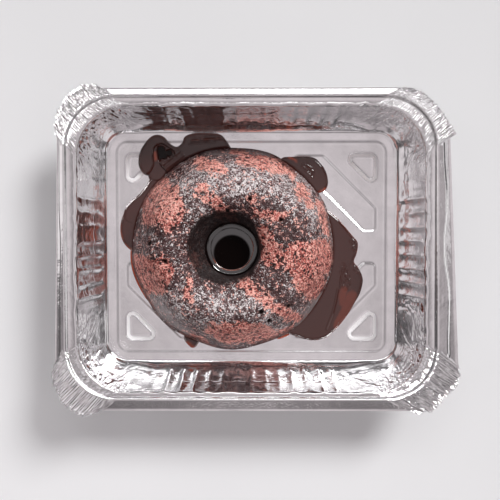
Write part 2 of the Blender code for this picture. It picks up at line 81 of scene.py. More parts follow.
# Tray walls and rim
RIM_HEIGHT = 60.6 * MM
# Rings: left edge and right edge, each at the front and at the back, front edge, back edge, radius
OPENING = mm(-145.5, -145.5, 145.2, 145.2, -120.6, 118.0, 42.0)
LEDGE = mm(-153.8, -153.8, 153.6, 152.4, -124.4, 125.2, 41.0)
FLANGE = mm(-164.2, -160.8, 173.0, 164.4, -135.8, 132.8, 38.0)
HALF_ARC = OPENING[-1] * math.pi / 4  # half the length of the mouth's round corner
LEDGE_STEP = 2.3 * MM
LEDGE_STEP_WIDTH = 0.8 * MM
LIP_DEPTH = 2.0 * MM
LIP_TURN = 0.62 * math.pi
EDGE_ROUND = 0.9 * MM  # radius of the rolled edges
EDGE_TURN = math.radians(65.0)
FACET_WIDTH = 1.4 * MM  # slanting facets along the opening edge and the step
FACET_RISE = 0.6 * MM
WALL_TOP = RIM_HEIGHT - FACET_RISE - EDGE_ROUND * math.sin(EDGE_TURN)
LEDGE_SAG = 0.25 * MM
BEAD_RISE = 0.4 * MM
BEAD = (0.84, 1.0)  # where the flange rises to it
WALL_ROWS = 61
ROW_SPREAD = 0.85  # below 1 the rows lie closer together towards the rim
WALL_BOW = 0.9 * MM  # how far the walls bulge at half their height
FILLET = 3.2 * MM  # radius at the wall's foot
FILLET_RUN = 2.6 * MM
FILLET_TURN = math.radians(78.0)
FILLET_STEPS = 7
FLANGE_STEPS = 17
CORNER_LIFT = mm(1.5, 0.7, 5.0, 1.2)  # how far the flange's ears are bent up, from the +X +Y corner on
EAR_BEND = 6.4  # the higher, the sooner along its corner an ear is bent up in full
# How far each ear reaches beyond the flange's ring, from its one end to the other
EAR_REACH = (mm(5.0, -2.0, -2.5, -1.0, 0.5), mm(0.5, 5.5, 4.5, 3.0, 1.5),
             mm(1.5, 2.5, 4.5, 5.5, 0.8), mm(1.0, 2.5, -1.0, 2.0, 0.5))

# A value for each side: right, back, left, front
SIDE_DIRECTIONS = ((0.0, 1.0), (-1.0, 0.0), (0.0, -1.0), (1.0, 0.0))
FLUTE_COUNTS = (9, 14, 9, 14)
SIDE_FLUTES = (0.72, 1.0, 0.85, 1.5)  # depth of the flutes
FLUTE_TAPER = (0.0, 0.35, 0.0, 0.60)  # share by which they weaken towards the rim
FLUTE_MIDDLE = (1.0, 0.42, 1.0, 0.42)  # share of their depth in the side's middle
FOOT_TUCK = mm(0.3, 3.8, 0.3, 3.0)  # how far the walls bulge out above their foot
TUCK_HEIGHT = mm(2.6, 6.5, 2.6, 4.6)
FLANGE_FALL = mm(1.6, 1.1, 1.6, 1.6)
FOLD_SIDES = (1.0, 0.0, 0.7, 0.0)  # how strongly the flange is folded lengthwise
SIDE_CRUSH = (0.34, 0.05, 0.22, 0.05)  # crumple of the straight flanges beside that of the corners

# Stations round the tray
FLUTE_PITCH = 12.2 * MM
FLUTE_STEPS = 10  # stations in one flute
RUN_LENGTH = 20.0 * MM  # plain wall between the flutes and a corner
RUN_STEPS = 24
CORNER_STEPS = 190
CORNER_FADE = 14.0  # a corner's folds reach full strength at one in this many parts of its arc

# Creases and crumple of the foil
FLUTE_DEPTH = 1.75 * MM
FLUTE_UNEVEN = (0.55, 1.15)
FLUTE_LEAN = 0.07
FLUTE_LEVEL = 0.4  # share of a flute's depth that lies inside the plain wall
FLUTE_WANDER, FLUTE_WANDER_SIZE = 0.06, 12 * MM  # unevenness of the flutes' ends
# Shares of the wall's height where the flutes set in and where the rim crushes them, and by how much
FLUTE_FOOT, FLUTE_TOP, FLUTE_CRUSH = (0.05, 0.2), 0.84, 0.7
PLEATS = 38  # folds round each corner
PLEAT_RISE = 0.36 * MM
PLEAT_REACH = 0.45 * MM
PLEAT_BEND = 0.45  # share of a fold that each of its steep sides takes
PLEATS_AT_EDGE, PLEATS_ON_LEDGE, PLEATS_ON_STEP = 0.25, (0.35, 0.9), 0.8  # share of their height there
PLEATS_ON_FLANGE, PLEATS_ON_LIP = (0.85, 1.35), 1.35
PLEAT_CHANGE = (0.15, 0.75)  # where the flange's inner folds give way to its outer ones
# Ranges that the folds' widths, heights, leans and hollows are drawn from
PLEAT_WIDTHS, PLEAT_HEIGHTS, PLEAT_LEANS, PLEAT_LOWS = (0.62, 1.45), (0.2, 1.1), (-0.6, 0.6), (-1.4, -0.4)
FOLD_SPREAD = 1.7
FOLD_DEPTH = 0.34 * MM
FOLD_LINE, FOLD_LINE_SIZE = 0.16, 40 * MM  # how far the lengthwise fold wanders
FOLD_AT, FOLD_HALF = 0.5, 0.05  # its middle and half its width, as shares of the flange's width
FOLD_FALL, FOLD_WEIGHT = (0.45, 1.0), 0.6  # the fall beyond it, and its weight beside a plain slope
FOLD_SIZES = ((7.0, 1.0), (3.3, 0.7), (1.8, 0.4))  # size in millimetres and weight
FOLD_ROWS = 12.8  # folds of size 1 that follow one another up the wall
FOLD_PATCH, PATCH_ROWS = 9 * MM, 4.0  # width of the patches with folds, and how many lie up the wall
FOLD_COVER = (0.25, 0.7)
FOLD_APART, PATCH_APART = 17.0, 31.0  # keep one corner's noise from looking like the next one's
CREASES = 9  # long creases on each side of a corner
# Ranges in millimetres: the creases' upper ends from the corner's middle, how far they slant, depth, width
CREASE_STARTS, CREASE_SLANTS, CREASE_DEPTHS, CREASE_WIDTHS = (4, 36), (6, 30), (0.30, 0.70), (0.8, 1.7)
CREASE_TOPS, CREASE_DROPS = (0.72, 0.98), (0.22, 0.68)  # shares of the wall's height
WALL_WAVE, WALL_WAVE_SIZE = mm(0.36, 8.5)
WAVE_SHARE, WAVE_AT_CORNER = 0.30, 0.35  # share of the wave on a plain wall, and what a corner adds
WALL_CRUSH, WALL_CRUSH_SIZE = mm(0.76, 3.0)
STREAK_STRETCH, CRUSH_STRETCH = (1.0, 1.0, 0.10), (1.0, 1.0, 0.42)  # both are drawn out up the wall
CRUSH_HEIGHTS, FOLD_HEIGHTS = (0.25, 0.75), (0.3, 0.8)  # shares of the wall's height where they set in
PLAIN_FOOT, PLAIN_EDGE = (0.0, 0.08), (0.96, 1.0)  # where the dents fade out again
RIM_CRUSH, RIM_CRUSH_SIZE = mm(0.44, 3.1)
RADIAL_SIZE, RADIAL_STEP = mm(1.5, 0.42)  # crumple drawn out across the rim
RADIAL_APART, RADIAL_FROM = 0.2, 0.9  # metres between the corners in its noise; corner share it starts at
RIM_SCALLOPS = 0.35 * FLUTE_DEPTH  # how far the flutes show in the mouth's edge
CALM_ROWS = 3.0  # the rim's dents grow over these rows from the mouth's edge
CRUSH_SHARE, RADIAL_SHARE = 0.26, 0.48
DING_CRUSH = (1.1, 1.6)  # crumple in the dented places beside that of the corners, on the walls and the rim
CORNER_ZONE = mm(40, 22)  # the walls' crumple starts and is full at these distances from a corner's middle
# Places dented by hand: middle and radius in millimetres
DINGS = ((159, -44, 9), (128, 34, 13), (-147, -35, 9), (139, -51, 10), (17, 111, 14), (-66, 112, 6))
# Layers of noise: depth and size in millimetres and a seed
FLOOR_DENTS = ((0.16, 46, 3), (0.05, 17, 4))
WALL_STREAKS = ((0.36, 6.5, 27), (0.16, 2.6, 28))
RIM_DENTS = ((0.18, 26, 51), (0.05, 7, 52))
RAGGED_EDGE = ((1.0, 2.6, 33), (0.9, 1.2, 34))
LEDGE_WANDER = ((0.6, 9, 36),)
CRUST_SWELL = ((1.0, 39, 71), (0.8, 13, 72))
CRUST_CRUMBS = ((0.5, 1.9, 75), (0.225, 1.045, 76))
PUDDLE_SWELL = ((0.10, 17, 81),)

# Cake
CAKE_PLACE = mm(-17.0, -1.2)
CAKE_BASE = 0.7 * MM
CAKE_RADIUS = 94.0 * MM
CAKE_HEIGHT = 62.0 * MM
HIDDEN_RADIUS = CAKE_RADIUS - 9 * MM  # the cake hides the floor inside it
CREST = (52.0 * MM, CAKE_HEIGHT)
SHOULDER = mm(81.8, 26.0)
HOLE_RIM = mm(29.5, 49.0)
HOLE_NECK = mm(23.6, 31.0)
HOLE_LEAN = mm(-4.0, 1.6)
FOOT_BEVEL = mm(1.2, 2.0)
DOME_HANDLES = (mm(74.5, 42.5), (69.0 * MM, CAKE_HEIGHT))
FUNNEL_HANDLES = ((41.0 * MM, CAKE_HEIGHT), mm(33.0, 57.0))
LOBES = 9
LOBE_ANGLE = math.radians(28.0)
LOBE_AT_FOOT, LOBE_AT_SHOULDER, LOBE_AT_CREST, LOBE_AT_RIM = mm(0.8, 1.7, 1.0, 0.4)
GLAZE_RISE = 0.25 * MM
# Pores: size of a cell, radius as a share of it and seed
SMALL_PORES, LARGE_PORES = (2.6 * MM, 0.40, 73), (7.0 * MM, 0.17, 74)
SMALL_PORE_DEPTH, LARGE_PORE_DEPTH = mm(0.6, 0.9)
CAKE_TURN_STEPS = 580
CAKE_PROFILE_STEP = 0.76 * MM
DOME_STEPS, FUNNEL_STEPS = 40, 30
BARE_CALM, SMOOTH_CALM = 0.6, 0.8  # crumbs left on bare sponge, and how much thick glaze evens out

# Bare sponge between the glaze: the two ends of each patch, from the cake's middle seen from above,
# and half its width, in millimetres
BARE_PATCHES = (
    (-72, 56, -67, 33, 15), (-56, 44, -50, 29, 12.5), (-84, 44, -78, 60, 8), (-29, 76, -11, 67, 6.5),
    (13, 80, 42, 74, 8), (42, 81, 55, 71, 5.5), (0, 88, 20, 86, 3), (-25, 51, 2, 29, 6),
    (17, 43, 20, 40, 2.5), (60, 57, 66, 39, 5.5), (77, 40, 85, 14, 5), (27, 30, 44, 28, 4.5),
    (33, 12, 38, -8, 7.5), (58, -6, 80, -8, 15), (66, -24, 74, -34, 12), (-86, -18, -58, -17, 12),
    (-84, -34, -66, -32, 9), (-84, -44, -78, -58, 4.5), (-29, -9, -27, -13, 3.5), (-34, -27, -34, -42, 3.5),
    (14, -30, 58, -63, 5), (-8, -72, 30, -76, 12), (41, -82, 54, -76, 5), (-50, -78, -20, -92, 3))
# Smooth strips of thick glaze, which also carry a painted pale sheen, and strips where painted white glints
# crowd, in the same way
SMOOTH_PATCHES = ((60, -66, 80, -44, 5.5), (-76, -46, -38, -78, 4.5), (-22, 88, 34, 86, 4))
GLINT_PATCHES = ((-34, 58, 54, 60, 17), (-34, 48, -24, 30, 8), (-24, -44, 26, -48, 11), (50, 46, 72, 30, 9),
                 (-60, -44, -20, -58, 9), (20, -56, 40, -72, 7), (84, 22, 88, 4, 5), (-62, 50, -52, 34, 9))
# Each set with the softness of its edge and how far the edge wanders, in millimetres
CRUST_PATCHES = ((BARE_PATCHES, 3.2, 3.0), (SMOOTH_PATCHES, 2.5, 2.0), (GLINT_PATCHES, 9.0, 4.0))
PITS = ((-69.4, 5.3), (-54.9, -9.2), (0, 33.3), (16.9, 42.7), (42.6, 25.7), (25.1, -51.3), (32.1, -60),
        (48.9, -47.2))
PIT_RADIUS, PIT_DEPTH, PIT_RAGGED_SIZE = mm(2.5, 3.2, 1.6)
PIT_RAGGED = 0.45
FOOT_SHADE_TOP = 13.0 * MM  # painted shade darkens the crust from here down to the foot
# The funnel painted near black, dark glaze with painted shade over it: radius, how far that swings round the
# hole and wanders, size of the wandering
GLAZE_AND_SHADE_RADIUS, GLAZE_AND_SHADE_SWING, GLAZE_AND_SHADE_WANDER, GLAZE_AND_SHADE_SIZE = mm(31.5, 2.5, 2.0, 7)
GLAZE_AND_SHADE_EDGE = mm(2.5, 1.5)  # outside and inside that radius
GLAZE_AND_SHADE_TURN = math.radians(-25.0)  # its narrow side

# Sauce
POOL_LEVEL = 29.0 * MM
HOLE_END = (HOLE_NECK[0] - 0.4 * MM, POOL_LEVEL - 3 * MM)  # the crust's last row, under the sauce
POOL_RADIUS = 23.4 * MM
POOL_MIRROR = 18.7 * MM  # radius of the flat middle
POOL_ENDS = (POOL_RADIUS + 0.2 * MM, POOL_MIRROR - 0.6 * MM)
POOL_STEP = 0.45 * MM
STEP_ENDS = (POOL_MIRROR - 0.3 * MM, POOL_MIRROR + 0.5 * MM)
STEP_MIDDLE, STEP_HALF = mm(0.15, 0.55)  # where the sauce is thin on the step, beyond the mirror
POOL_STEPS, POOL_ROWS = 120, 24
MIRROR_ROWS = (0.8, 0.5, 0.2)
POOL_WAVES = ((0.012, 3, 0.6), (0.008, 5, 0.0))  # share of the radius, waves in a turn and their start
# The side where the step is thin: by how much, where it begins and ends, and its turn
THIN_SHARE, THIN_ENDS, THIN_TURN = 0.95, (0.35, -0.15), 0.5
LIP_SLOPE = 0.09
LIP_START = 21.2 * MM
LIP_RISE = 1.5 * MM
GAP_SHADE_DEPTH = 1.5  # depth field inside a gap, where the sauce is painted black as shade
PUDDLE_MESH = 0.65 * MM
WRINKLE = 0.50 * MM
WRINKLE_SIZE = 2.6 * MM
PUDDLE_ROUND = 3.2 * MM
PUDDLE_EDGE = 0.55 * MM
GAP_DEPTH, GAP_SINK = 0.3 * MM, 0.8  # sauce left in a gap, and how far the surface sinks to it
UNDERSIDE_DEPTH = 0.3  # least depth field on a puddle's underside
# Softness and wandering of the edges of thin and wrinkled strips and of gaps, in millimetres
SOFT_EDGE, GAP_EDGE = (2.0, 1.0), (1.0, 0.4)
UNDER_FLOOR, UNDER_CAKE = mm(0.05, 2)  # how far the puddles reach into the floor and under the cake
PLAIN_SAUCE = dict(foot=(), ridges=(), thin=(), gaps=(), wrinkles=(), clear=0.55, dark_edge=0.0)
# Level and edge in millimetres; foot is the stretch that runs under the cake, in degrees; each ridge is a
# line, its height and its width; a thin strip is two ends and half its width, where light shows through
# A gap is a sunken strip where the sauce is painted black as shade
SAUCES = {
    "sauce_right": dict(
        level=4.2, foot=(-58, 24), clear=0.5,
        ridges=((((82.5, -37.5), (83.2, -30), (85.2, -19.5)), 0.7, 2.2),
                (((85.5, -37), (87.8, -27), (91.5, -31)), 0.6, 2.0), (((88.5, -18), (90, -25)), 0.5, 1.8),
                (((95.5, 7), (93, 3)), 0.6, 2.0), (((97.5, 3), (94.5, 0)), 0.6, 2.0),
                (((98.5, -16), (95, -19)), 0.6, 2.0), (((102, -22), (98, -24)), 0.6, 2.0),
                (((80.5, -39), (78, -52), (75.5, -62), (70, -76)), 0.55, 3.2)),
        thin=((93, -46, 81, -73, 5.5), (86, -40, 84, -52, 3.5)),
        wrinkles=((86, -18, 88, -36, 4), (94, 5, 98, -5, 2.5), (96, -16, 101, -24, 3)),
        edge=((78, 29), (86, 20.5), (94, 11), (99.3, 4), (98.3, -6), (95.8, -13.5), (99.5, -18.5),
              (103.4, -26), (104.3, -33), (101.8, -43), (97, -52), (91, -62), (84, -71.5), (77, -79),
              (70.5, -84.5), (61, -87.3), (52.5, -87), (44.5, -84.5))),
    "sauce_left": dict(
        level=4.0, foot=(157, 182), clear=0.7, thin=((-120.5, 6, -122.5, 20, 1.8), (-112, -3, -117, 2, 1.6)),
        edge=((-112.5, -3), (-117.5, 1.5), (-121, 8), (-122.3, 16), (-121.5, 24), (-119, 31), (-115.5, 37))),
    "sauce_top_right": dict(
        level=5.0, foot=(34, 62), clear=0.85, wrinkles=((49, 76, 56, 68, 3),),
        ridges=((((50, 76), (55, 73.5), (57, 68)), 0.6, 2.4), (((53, 71), (56, 66)), -0.5, 2.4)),
        thin=((36, 82, 41, 80, 2.0), (64, 51, 68, 53, 2.4)),
        edge=((30, 83.5), (39, 84), (50, 84.5), (59, 82.8), (65.5, 77), (70, 69), (71.6, 60), (69.5, 53.5),
              (64.5, 50.5))),
    "sauce_drip": dict(
        level=3.6, foot=(240, 250), clear=0.75, thin=((-60, -89, -55, -93, 2.5),),
        edge=((-63, -86.5), (-60, -91), (-56.5, -94.3), (-53, -94.2), (-50.5, -91.8))),
    "sauce_back": dict(
        level=7.0, foot=(91, 131), dark_edge=0.45, wrinkles=((-84, 75, -64, 86, 2), (-50, 99, -30, 101, 2)),
        gaps=((-82, 92, -74, 86, 3.2), (-83, 88, -80, 84, 2.6)),
        ridges=((((-84.5, 73.5), (-66, 88)), 1.1, 3.4), (((-81, 70.5), (-62.5, 84.5)), 0.9, 3.2),
                (((-55, 98), (-28, 100)), -0.9, 3.0), (((-57, 94.5), (-33, 96.5)), 0.5, 2.0)),
        edge=((-83.5, 73.5), (-86, 78.5), (-83, 82.5), (-79.5, 86), (-81, 91.5), (-85, 93.5), (-88.3, 91),
              (-89.4, 84.5), (-88.8, 76), (-92.5, 68.5), (-97.5, 66.5), (-102.5, 70.5), (-105, 78),
              (-103.5, 88), (-99, 96), (-93, 102.3), (-86.5, 104.3), (-80.5, 102), (-75.5, 96.5),
              (-69.5, 93.3), (-64.5, 96.5), (-61.5, 102.5), (-53, 105.6), (-40, 106), (-29, 104.6),
              (-23.5, 99.5), (-20, 94.2))),
}
# Thin sauce on the floor that stands for no solid
FILMS = {
    "sauce_hook": dict(
        level=5.0, clear=0.85, dark_edge=0.6, thin=((-88.4, 81.5, -88.6, 87, 1.9),),
        gaps=((-83.5, 90, -82, 82, 3.6), (-80, 86, -76, 87, 3.0)),
        edge=((-95, 63), (-97, 78), (-94, 90), (-88, 97), (-80, 96), (-72, 90), (-71, 78), (-77, 69),
              (-82, 62), (-88, 60))),
    # A dark band along the cake's foot, drawn as a thin film with the sauce's finish
    "dark_left_band": dict(
        level=4.2, foot=(136, 168), dark_edge=0.5,
        edge=((-116, 22), (-119.5, 27), (-117.5, 36), (-112, 43), (-104.5, 49.5), (-99, 55.5), (-94.5, 63),
              (-91, 70))),
    "sauce_foot_seep": dict(
        level=1.6, foot=(182, 213), clear=0.95, thin=((-112, -5, -100, -45, 4.0),),
        edge=((-112.5, -2), (-112.8, -12), (-111.5, -22), (-107.5, -33), (-102.5, -42.5), (-97.5, -50))),
    "sauce_right_seep": dict(
        level=1.6, foot=(297, 306), clear=0.9, thin=((26, -86, 40, -80, 4.0),),
        edge=((24.5, -86.3), (30, -85), (36, -82), (41, -78))),
}

# Colours
# Foil greys, and the white painted along the ribs as their highlight
FOIL_GREY, FOIL_PALE, RIB_HIGHLIGHT_WHITE = (0.80, 0.79, 0.80), (0.90, 0.89, 0.90), (0.98, 0.97, 0.98)
# Roughness, depth of the fine creases and of the soft waves
FLOOR_FOIL, WALL_FOIL = (0.17, 0.02 * MM, 0.05 * MM), (0.10, 0.05 * MM, 0.12 * MM)
RIM_FOIL = (0.10, 0.04 * MM, 0.05 * MM)
SPONGE_DARK, SPONGE, SPONGE_LIGHT = (0.20, 0.034, 0.027), (0.60, 0.140, 0.114), (0.98, 0.52, 0.44)
# Painted shade: near the crust's foot, in the funnel and in pits, and in the sponge's pores
FOOT_SHADE_BROWN, HOLE_SHADE, PORE_SHADE = (0.060, 0.030, 0.028), (0.010, 0.003, 0.003), (0.025, 0.006, 0.005)
PORE_SIZES = ((430.0, 0.26), (210.0, 0.25))  # pores in a metre and half their width, as a share of the gap
# Glaze colours, with the painted pale sheen of thick glaze and the painted dim and white glints
GLAZE_DARK, GLAZE, GLAZE_SHEEN = (0.030, 0.012, 0.012), (0.094, 0.041, 0.041), (0.26, 0.22, 0.22)
GLINT_DIM, GLINT_WHITE = (0.19, 0.118, 0.119), (0.80, 0.74, 0.74)
# Deep and thin colour, roughness and index of refraction
# The pool is the runny sauce painted darker, as shade in the hole
POOL_SAUCE_SHADED = ((0.004, 0.002, 0.002), (0.16, 0.038, 0.018), 0.008, 2.0)
RUNNY_SAUCE = ((0.050, 0.016, 0.013), (0.40, 0.062, 0.022), 0.035, 1.6)
CRUST_IOR = 1.42

# Camera: a little under 0.56 m over the table, almost straight down
CAMERA_PLACE = mm(-2.1, 14.0, 554.6)
CAMERA_TURNS = (math.radians(-1.6415), math.radians(0.2898))  # about X and Y
SENSOR = 36.0
FOCAL_PIXELS, PICTURE_PIXELS = 593.2, 500.0
LENS = SENSOR * FOCAL_PIXELS / PICTURE_PIXELS

# Lamps: direction, distance, width and height, watts. A large soft one at the upper right, and a long dim
# one in the north with a narrow strip before it
LAMPS = {
    "key": ((0.76, 0.88, 1.0), 4.0, (1.35, 1.35), 121.0),
    "north": ((0.05, 0.79, 1.0), 2.0, (2.1, 0.75), 5.0),
    "strip": ((0.05, 0.79, 1.0), 1.95, (1.8, 0.05), 2.7),
}
# The sky's colour by the cosine of the angle from the zenith
SKY = ((0.0, (0.20, 0.188, 0.193)), (0.34, (0.095, 0.088, 0.090)), (0.72, (0.095, 0.088, 0.090)),
       (0.87, (0.31, 0.283, 0.292)), (0.95, (0.49, 0.45, 0.46)), (1.0, (0.73, 0.67, 0.69)))
# Pale panels round the studio: direction, cosine of the half angle and colour
PANELS = (((-1.0, 0.2, 1.05), 0.970, (0.92, 0.87, 0.88)), ((0.75, -0.9, 0.75), 0.965, (0.90, 0.86, 0.87)),
          ((-0.5, -1.1, 0.65), 0.97, (0.80, 0.76, 0.77)), ((1.1, -0.1, 0.5), 0.975, (1.0, 0.98, 0.98)),
          ((-0.75, 1.0, 0.55), 0.97, (1.3, 1.28, 1.3)), ((0.0, -0.8, 0.66), 0.968, (0.58, 0.535, 0.545)),
          ((0.50, -0.50, 0.72), 0.965, (0.95, 0.92, 0.93)), ((0.8, 0.1, 1.0), 0.975, (0.70, 0.67, 0.68)),
          ((-0.48, -0.445, 0.755), 0.975, (0.85, 0.82, 0.83)))
PANEL_EDGE = 0.01
TABLE_HALF = 4.0
TABLE_COLOURS = ((0.3, (0.80, 0.80, 0.81)), (0.7, (0.84, 0.84, 0.85)))
TABLE_SHADE_SLOPE = (-0.20, -0.42, 0.0)  # painted light and shade: the table is painted paler this way, by metre
TABLE_SHADES = ((0.35, 0.75), (0.65, 1.10))
LENS_DIRECTION = (-0.0355, -0.0340, 1.0)
LENS_SPOT = 0.0310  # tangent of the spot's half angle
SPOT_BASE, SPOT_SCALE, SPOT_EDGE = 0.999, 1000.0, 0.04  # the spot's cosine is stretched from this base


# Numbers and noise

def lerp(a, b, share):
    return a + (b - a) * share


def smooth_step(low, high, value):
    share = np.clip((value - low) / (high - low), 0.0, 1.0)
    return share * share * (3.0 - 2.0 * share)


def draws(rng, count, limits):
    """Random numbers between two limits."""
    return np.array([rng.uniform(*limits) for _ in range(count)])


def cell_number(cells, seed):
    """A random number from 0 to 1 for each whole-number cell."""
    x, y, z = (cells[..., axis] for axis in range(3))
    mixed = (x * 73856093) ^ (y * 19349663) ^ (z * 83492791) ^ (seed * 7919)
    mixed = ((mixed ^ (mixed >> 13)) * 1274126177) & 0xFFFFFFFF
    mixed = ((mixed ^ (mixed >> 15)) * 668265263) & 0xFFFFFFFF
    return ((mixed ^ (mixed >> 16)) & 0xFFFFFF) / 0xFFFFFF


def cells_of(points, size):
    """Points measured in cells, and the cell that each lies in."""
    scaled = np.asarray(points) / size
    return scaled, np.floor(scaled).astype(np.int64)


def soft_noise(points, size, seed):
    """Smooth noise from -1 to 1 with lumps of about the given size."""
    scaled, base = cells_of(points, size)
    part = scaled - base
    part = part * part * part * (part * (part * 6.0 - 15.0) + 10.0)
    total = 0.0
    for corner in np.ndindex(2, 2, 2):
        weight = np.abs(1 - np.array(corner) - part).prod(axis=-1)
        total = total + weight * cell_number(base + corner, seed)
    return total * 2.0 - 1.0


def layered(points, layers):
    """Sum of layers of noise, each with its depth and size in millimetres and its seed."""
    return sum(depth * MM * soft_noise(points, size * MM, seed) for depth, size, seed in layers)


def creased(points, size, seed):
    """Noise from -1 to 1 with sharp crests, as creased foil has."""
    return 2.0 * (1.0 - np.abs(soft_noise(points, size, seed))) - 1.0


def crumple(points, size, seed):
    """Crushed foil: sharp ridges of two sizes, from about -1 to 1."""
    return 0.65 * creased(points, size, seed) + 0.35 * creased(points, 0.5 * size, seed + 1)


def pore_cover(points, size, width, seed):
    """Scattered dots of about a width in cells of a size: 1 in their middles, falling to 0."""
    scaled, base = cells_of(points, size)
    nearest = np.full(scaled.shape[:-1], np.inf)
    for shift in np.ndindex(3, 3, 3):
        cell = base + shift - 1
        dot = cell + np.stack([cell_number(cell, seed + axis + 1) for axis in range(3)], -1)
        nearest = np.minimum(nearest, np.linalg.norm(dot - scaled, axis=-1))
    return np.clip(1.0 - nearest / width, 0.0, 1.0)


# Lines

def segment_distance(x, y, start, end):
    """Distance of points to the straight line between two ends."""
    along = end - start
    share = np.clip(((x - start[0]) * along[0] + (y - start[1]) * along[1]) / (along @ along), 0.0, 1.0)
    return np.hypot(x - start[0] - share * along[0], y - start[1] - share * along[1])


def depth_inside(points, *lines):
    """How far inside the nearest of some closed lines each point lies; negative outside."""
    x, y = points.T
    deepest = np.full(len(points), -np.inf)
    for line in lines:
        near = np.full(len(points), np.inf)
        inside = np.zeros(len(points), dtype=bool)
        for start, end in zip(np.roll(line, 1, axis=0), line):
            near = np.minimum(near, segment_distance(x, y, start, end))
            along = end - start
            if along[1] != 0.0:
                crosses = (start[1] > y) != (end[1] > y)
                inside ^= crosses & (x < start[0] + (y - start[1]) / along[1] * along[0])
        deepest = np.maximum(deepest, np.where(inside, near, -near))
    return deepest


def patch_depth(x, y, patches):
    """How far inside the nearest of a set of strips a point lies, in metres; negative outside."""
    depth = np.full(x.shape, -1.0)
    for *ends, half in patches:
        start, end = np.reshape(ends, (2, 2)) * MM
        depth = np.maximum(depth, half * MM - segment_distance(x, y, start, end))
    return depth


def patch_cover(x, y, patches, edge, wander):
    """Cover of a set of strips, 0 to 1, with soft and wandering edges in millimetres."""
    flat = np.stack((x, y, np.zeros_like(x)), -1)
    warped = [place + layered(flat, ((wander, 9, seed), (0.5 * wander, 3.6, seed + 1)))
              for place, seed in ((x, 61), (y, 63))]
    return smooth_step(-edge * MM, edge * MM, patch_depth(*warped, patches))


def bezier(a, b, c, d, share):
    rest = 1.0 - share
    weights = (rest ** 3, 3 * rest * rest * share, 3 * rest * share * share, share ** 3)
    return tuple(sum(w * p[axis] for w, p in zip(weights, (a, b, c, d))) for axis in range(2))


def rounded_polygon(corners, bend, steps=6):
    """Closed line with round corners, counter-clockwise."""
    points = []
    corners = np.array(corners)
    for before, corner, after in zip(np.roll(corners, 1, axis=0), corners, np.roll(corners, -1, axis=0)):
        arriving = (corner - before) / np.linalg.norm(corner - before)
        leaving = (after - corner) / np.linalg.norm(after - corner)
        turn = math.acos(np.clip(arriving @ leaving, -1.0, 1.0))
        inward = (leaving - arriving) / np.linalg.norm(leaving - arriving)
        centre = corner + inward * (bend / math.cos(turn / 2))
        angles = math.atan2(-arriving[0], arriving[1]) + turn * np.arange(steps + 1) / steps
        points.append(centre + bend * np.column_stack((np.cos(angles), np.sin(angles))))
    return np.concatenate(points)


def quarter_lines(corners, bend):
    """A closed line for each quarter of the floor, mirrored from the quarter at +X +Y."""
    lines = []
    for sign_x, sign_y in ((1, 1), (1, -1), (-1, 1), (-1, -1)):
        mirrored = [(sign_x * x, sign_y * y) for x, y in corners]
        lines.append(rounded_polygon(mirrored[::sign_x * sign_y], bend))
    return lines


def smooth_closed(points, steps):
    """A soft closed curve through the points."""
    made = []
    for index in range(len(points)):
        a, b, c, d = (points[(index + shift) % len(points)] for shift in (-1, 0, 1, 2))
        for step in range(steps):
            t = step / steps
            made.append(0.5 * (2 * b + (c - a) * t + (2 * a - 5 * b + 4 * c - d) * t * t
                               + (3 * b - a - 3 * c + d) * t ** 3))
    return np.array(made)


# Meshes

def at_height(points, height=0.0):
    """Flat points lifted to a height, one for all or one for each."""
    return np.column_stack((points, np.broadcast_to(height, len(points))))


def make_piece(name, points, faces, finish, creases=180.0, fields=None):
    """A mesh in the tray's frame, riding on the part's body; edges sharper than creases stay sharp."""
    points = np.asarray(points, dtype=np.float64) + np.array((*FLOOR_PLACE, 0.0))
    mesh = bpy.data.meshes.new(name)
    mesh.from_pydata(points.tolist(), [], faces)
    mesh.validate()
    for field, values in (fields or {}).items():
        layer = mesh.attributes.new(field, "FLOAT", "POINT")
        layer.data.foreach_set("value", np.asarray(values, dtype=np.float32))
    mesh.shade_smooth()
    mesh.set_sharp_from_angle(angle=math.radians(creases))
    mesh.materials.append(finish)
    piece = bpy.data.objects.new(name, mesh)
    bpy.context.scene.collection.objects.link(piece)
    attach(piece, "root")
    return piece


def thicken(piece, thickness, creases):
    """Gives a sheet its thickness on the lower side."""
    solid = piece.modifiers.new("thickness", "SOLIDIFY")
    solid.thickness = thickness
    solid.offset = -1.0
    solid.use_rim = True
    shaped = piece.evaluated_get(bpy.context.evaluated_depsgraph_get())
    mesh = bpy.data.meshes.new_from_object(shaped)
    piece.modifiers.clear()
    piece.data = mesh
    mesh.set_sharp_from_angle(angle=math.radians(creases))
    return piece


def grid_faces(rows, columns):
    """Quads between closed rows of points."""
    faces = []
    for row in range(rows - 1):
        for column in range(columns):
            after = (column + 1) % columns
            faces.append((row * columns + column, (row + 1) * columns + column,
                          (row + 1) * columns + after, row * columns + after))
    return faces


def turned_over(faces):
    return [face[::-1] for face in faces]


def build_sheet(name, rows, finish, creases):
    """Front and coarser back of the foil between closed rows of points, as two pieces."""
    columns = len(rows[0])
    front = make_piece(name, np.concatenate(rows), grid_faces(len(rows), columns), finish, creases)
    places, normals = np.zeros((2, 3 * len(rows) * columns))
    front.data.vertices.foreach_get("co", places)
    front.data.vertex_normals.foreach_get("vector", normals)
    inner = (places - FOIL_BACK * normals).reshape(len(rows), columns, 3)[::2, ::2]
    inner = inner.reshape(-1, 3) - np.array((*FLOOR_PLACE, 0.0))
    faces = turned_over(grid_faces((len(rows) + 1) // 2, columns // 2))
    back = make_piece(name + "_back", inner, faces, finish, creases)
    return front, back


def fill_line(line, inner):
    """Points and triangles that fill a closed line, through the points inside it."""
    points = [Vector(point) for point in np.vstack((line, inner))]
    edges = [(index, (index + 1) % len(line)) for index in range(len(line))]
    found, _, faces, _, _, _ = delaunay_2d_cdt(points, edges, [], 1, 1e-7)
    return np.array([tuple(point) for point in found]), [tuple(face) for face in faces]


# Stations round the tray

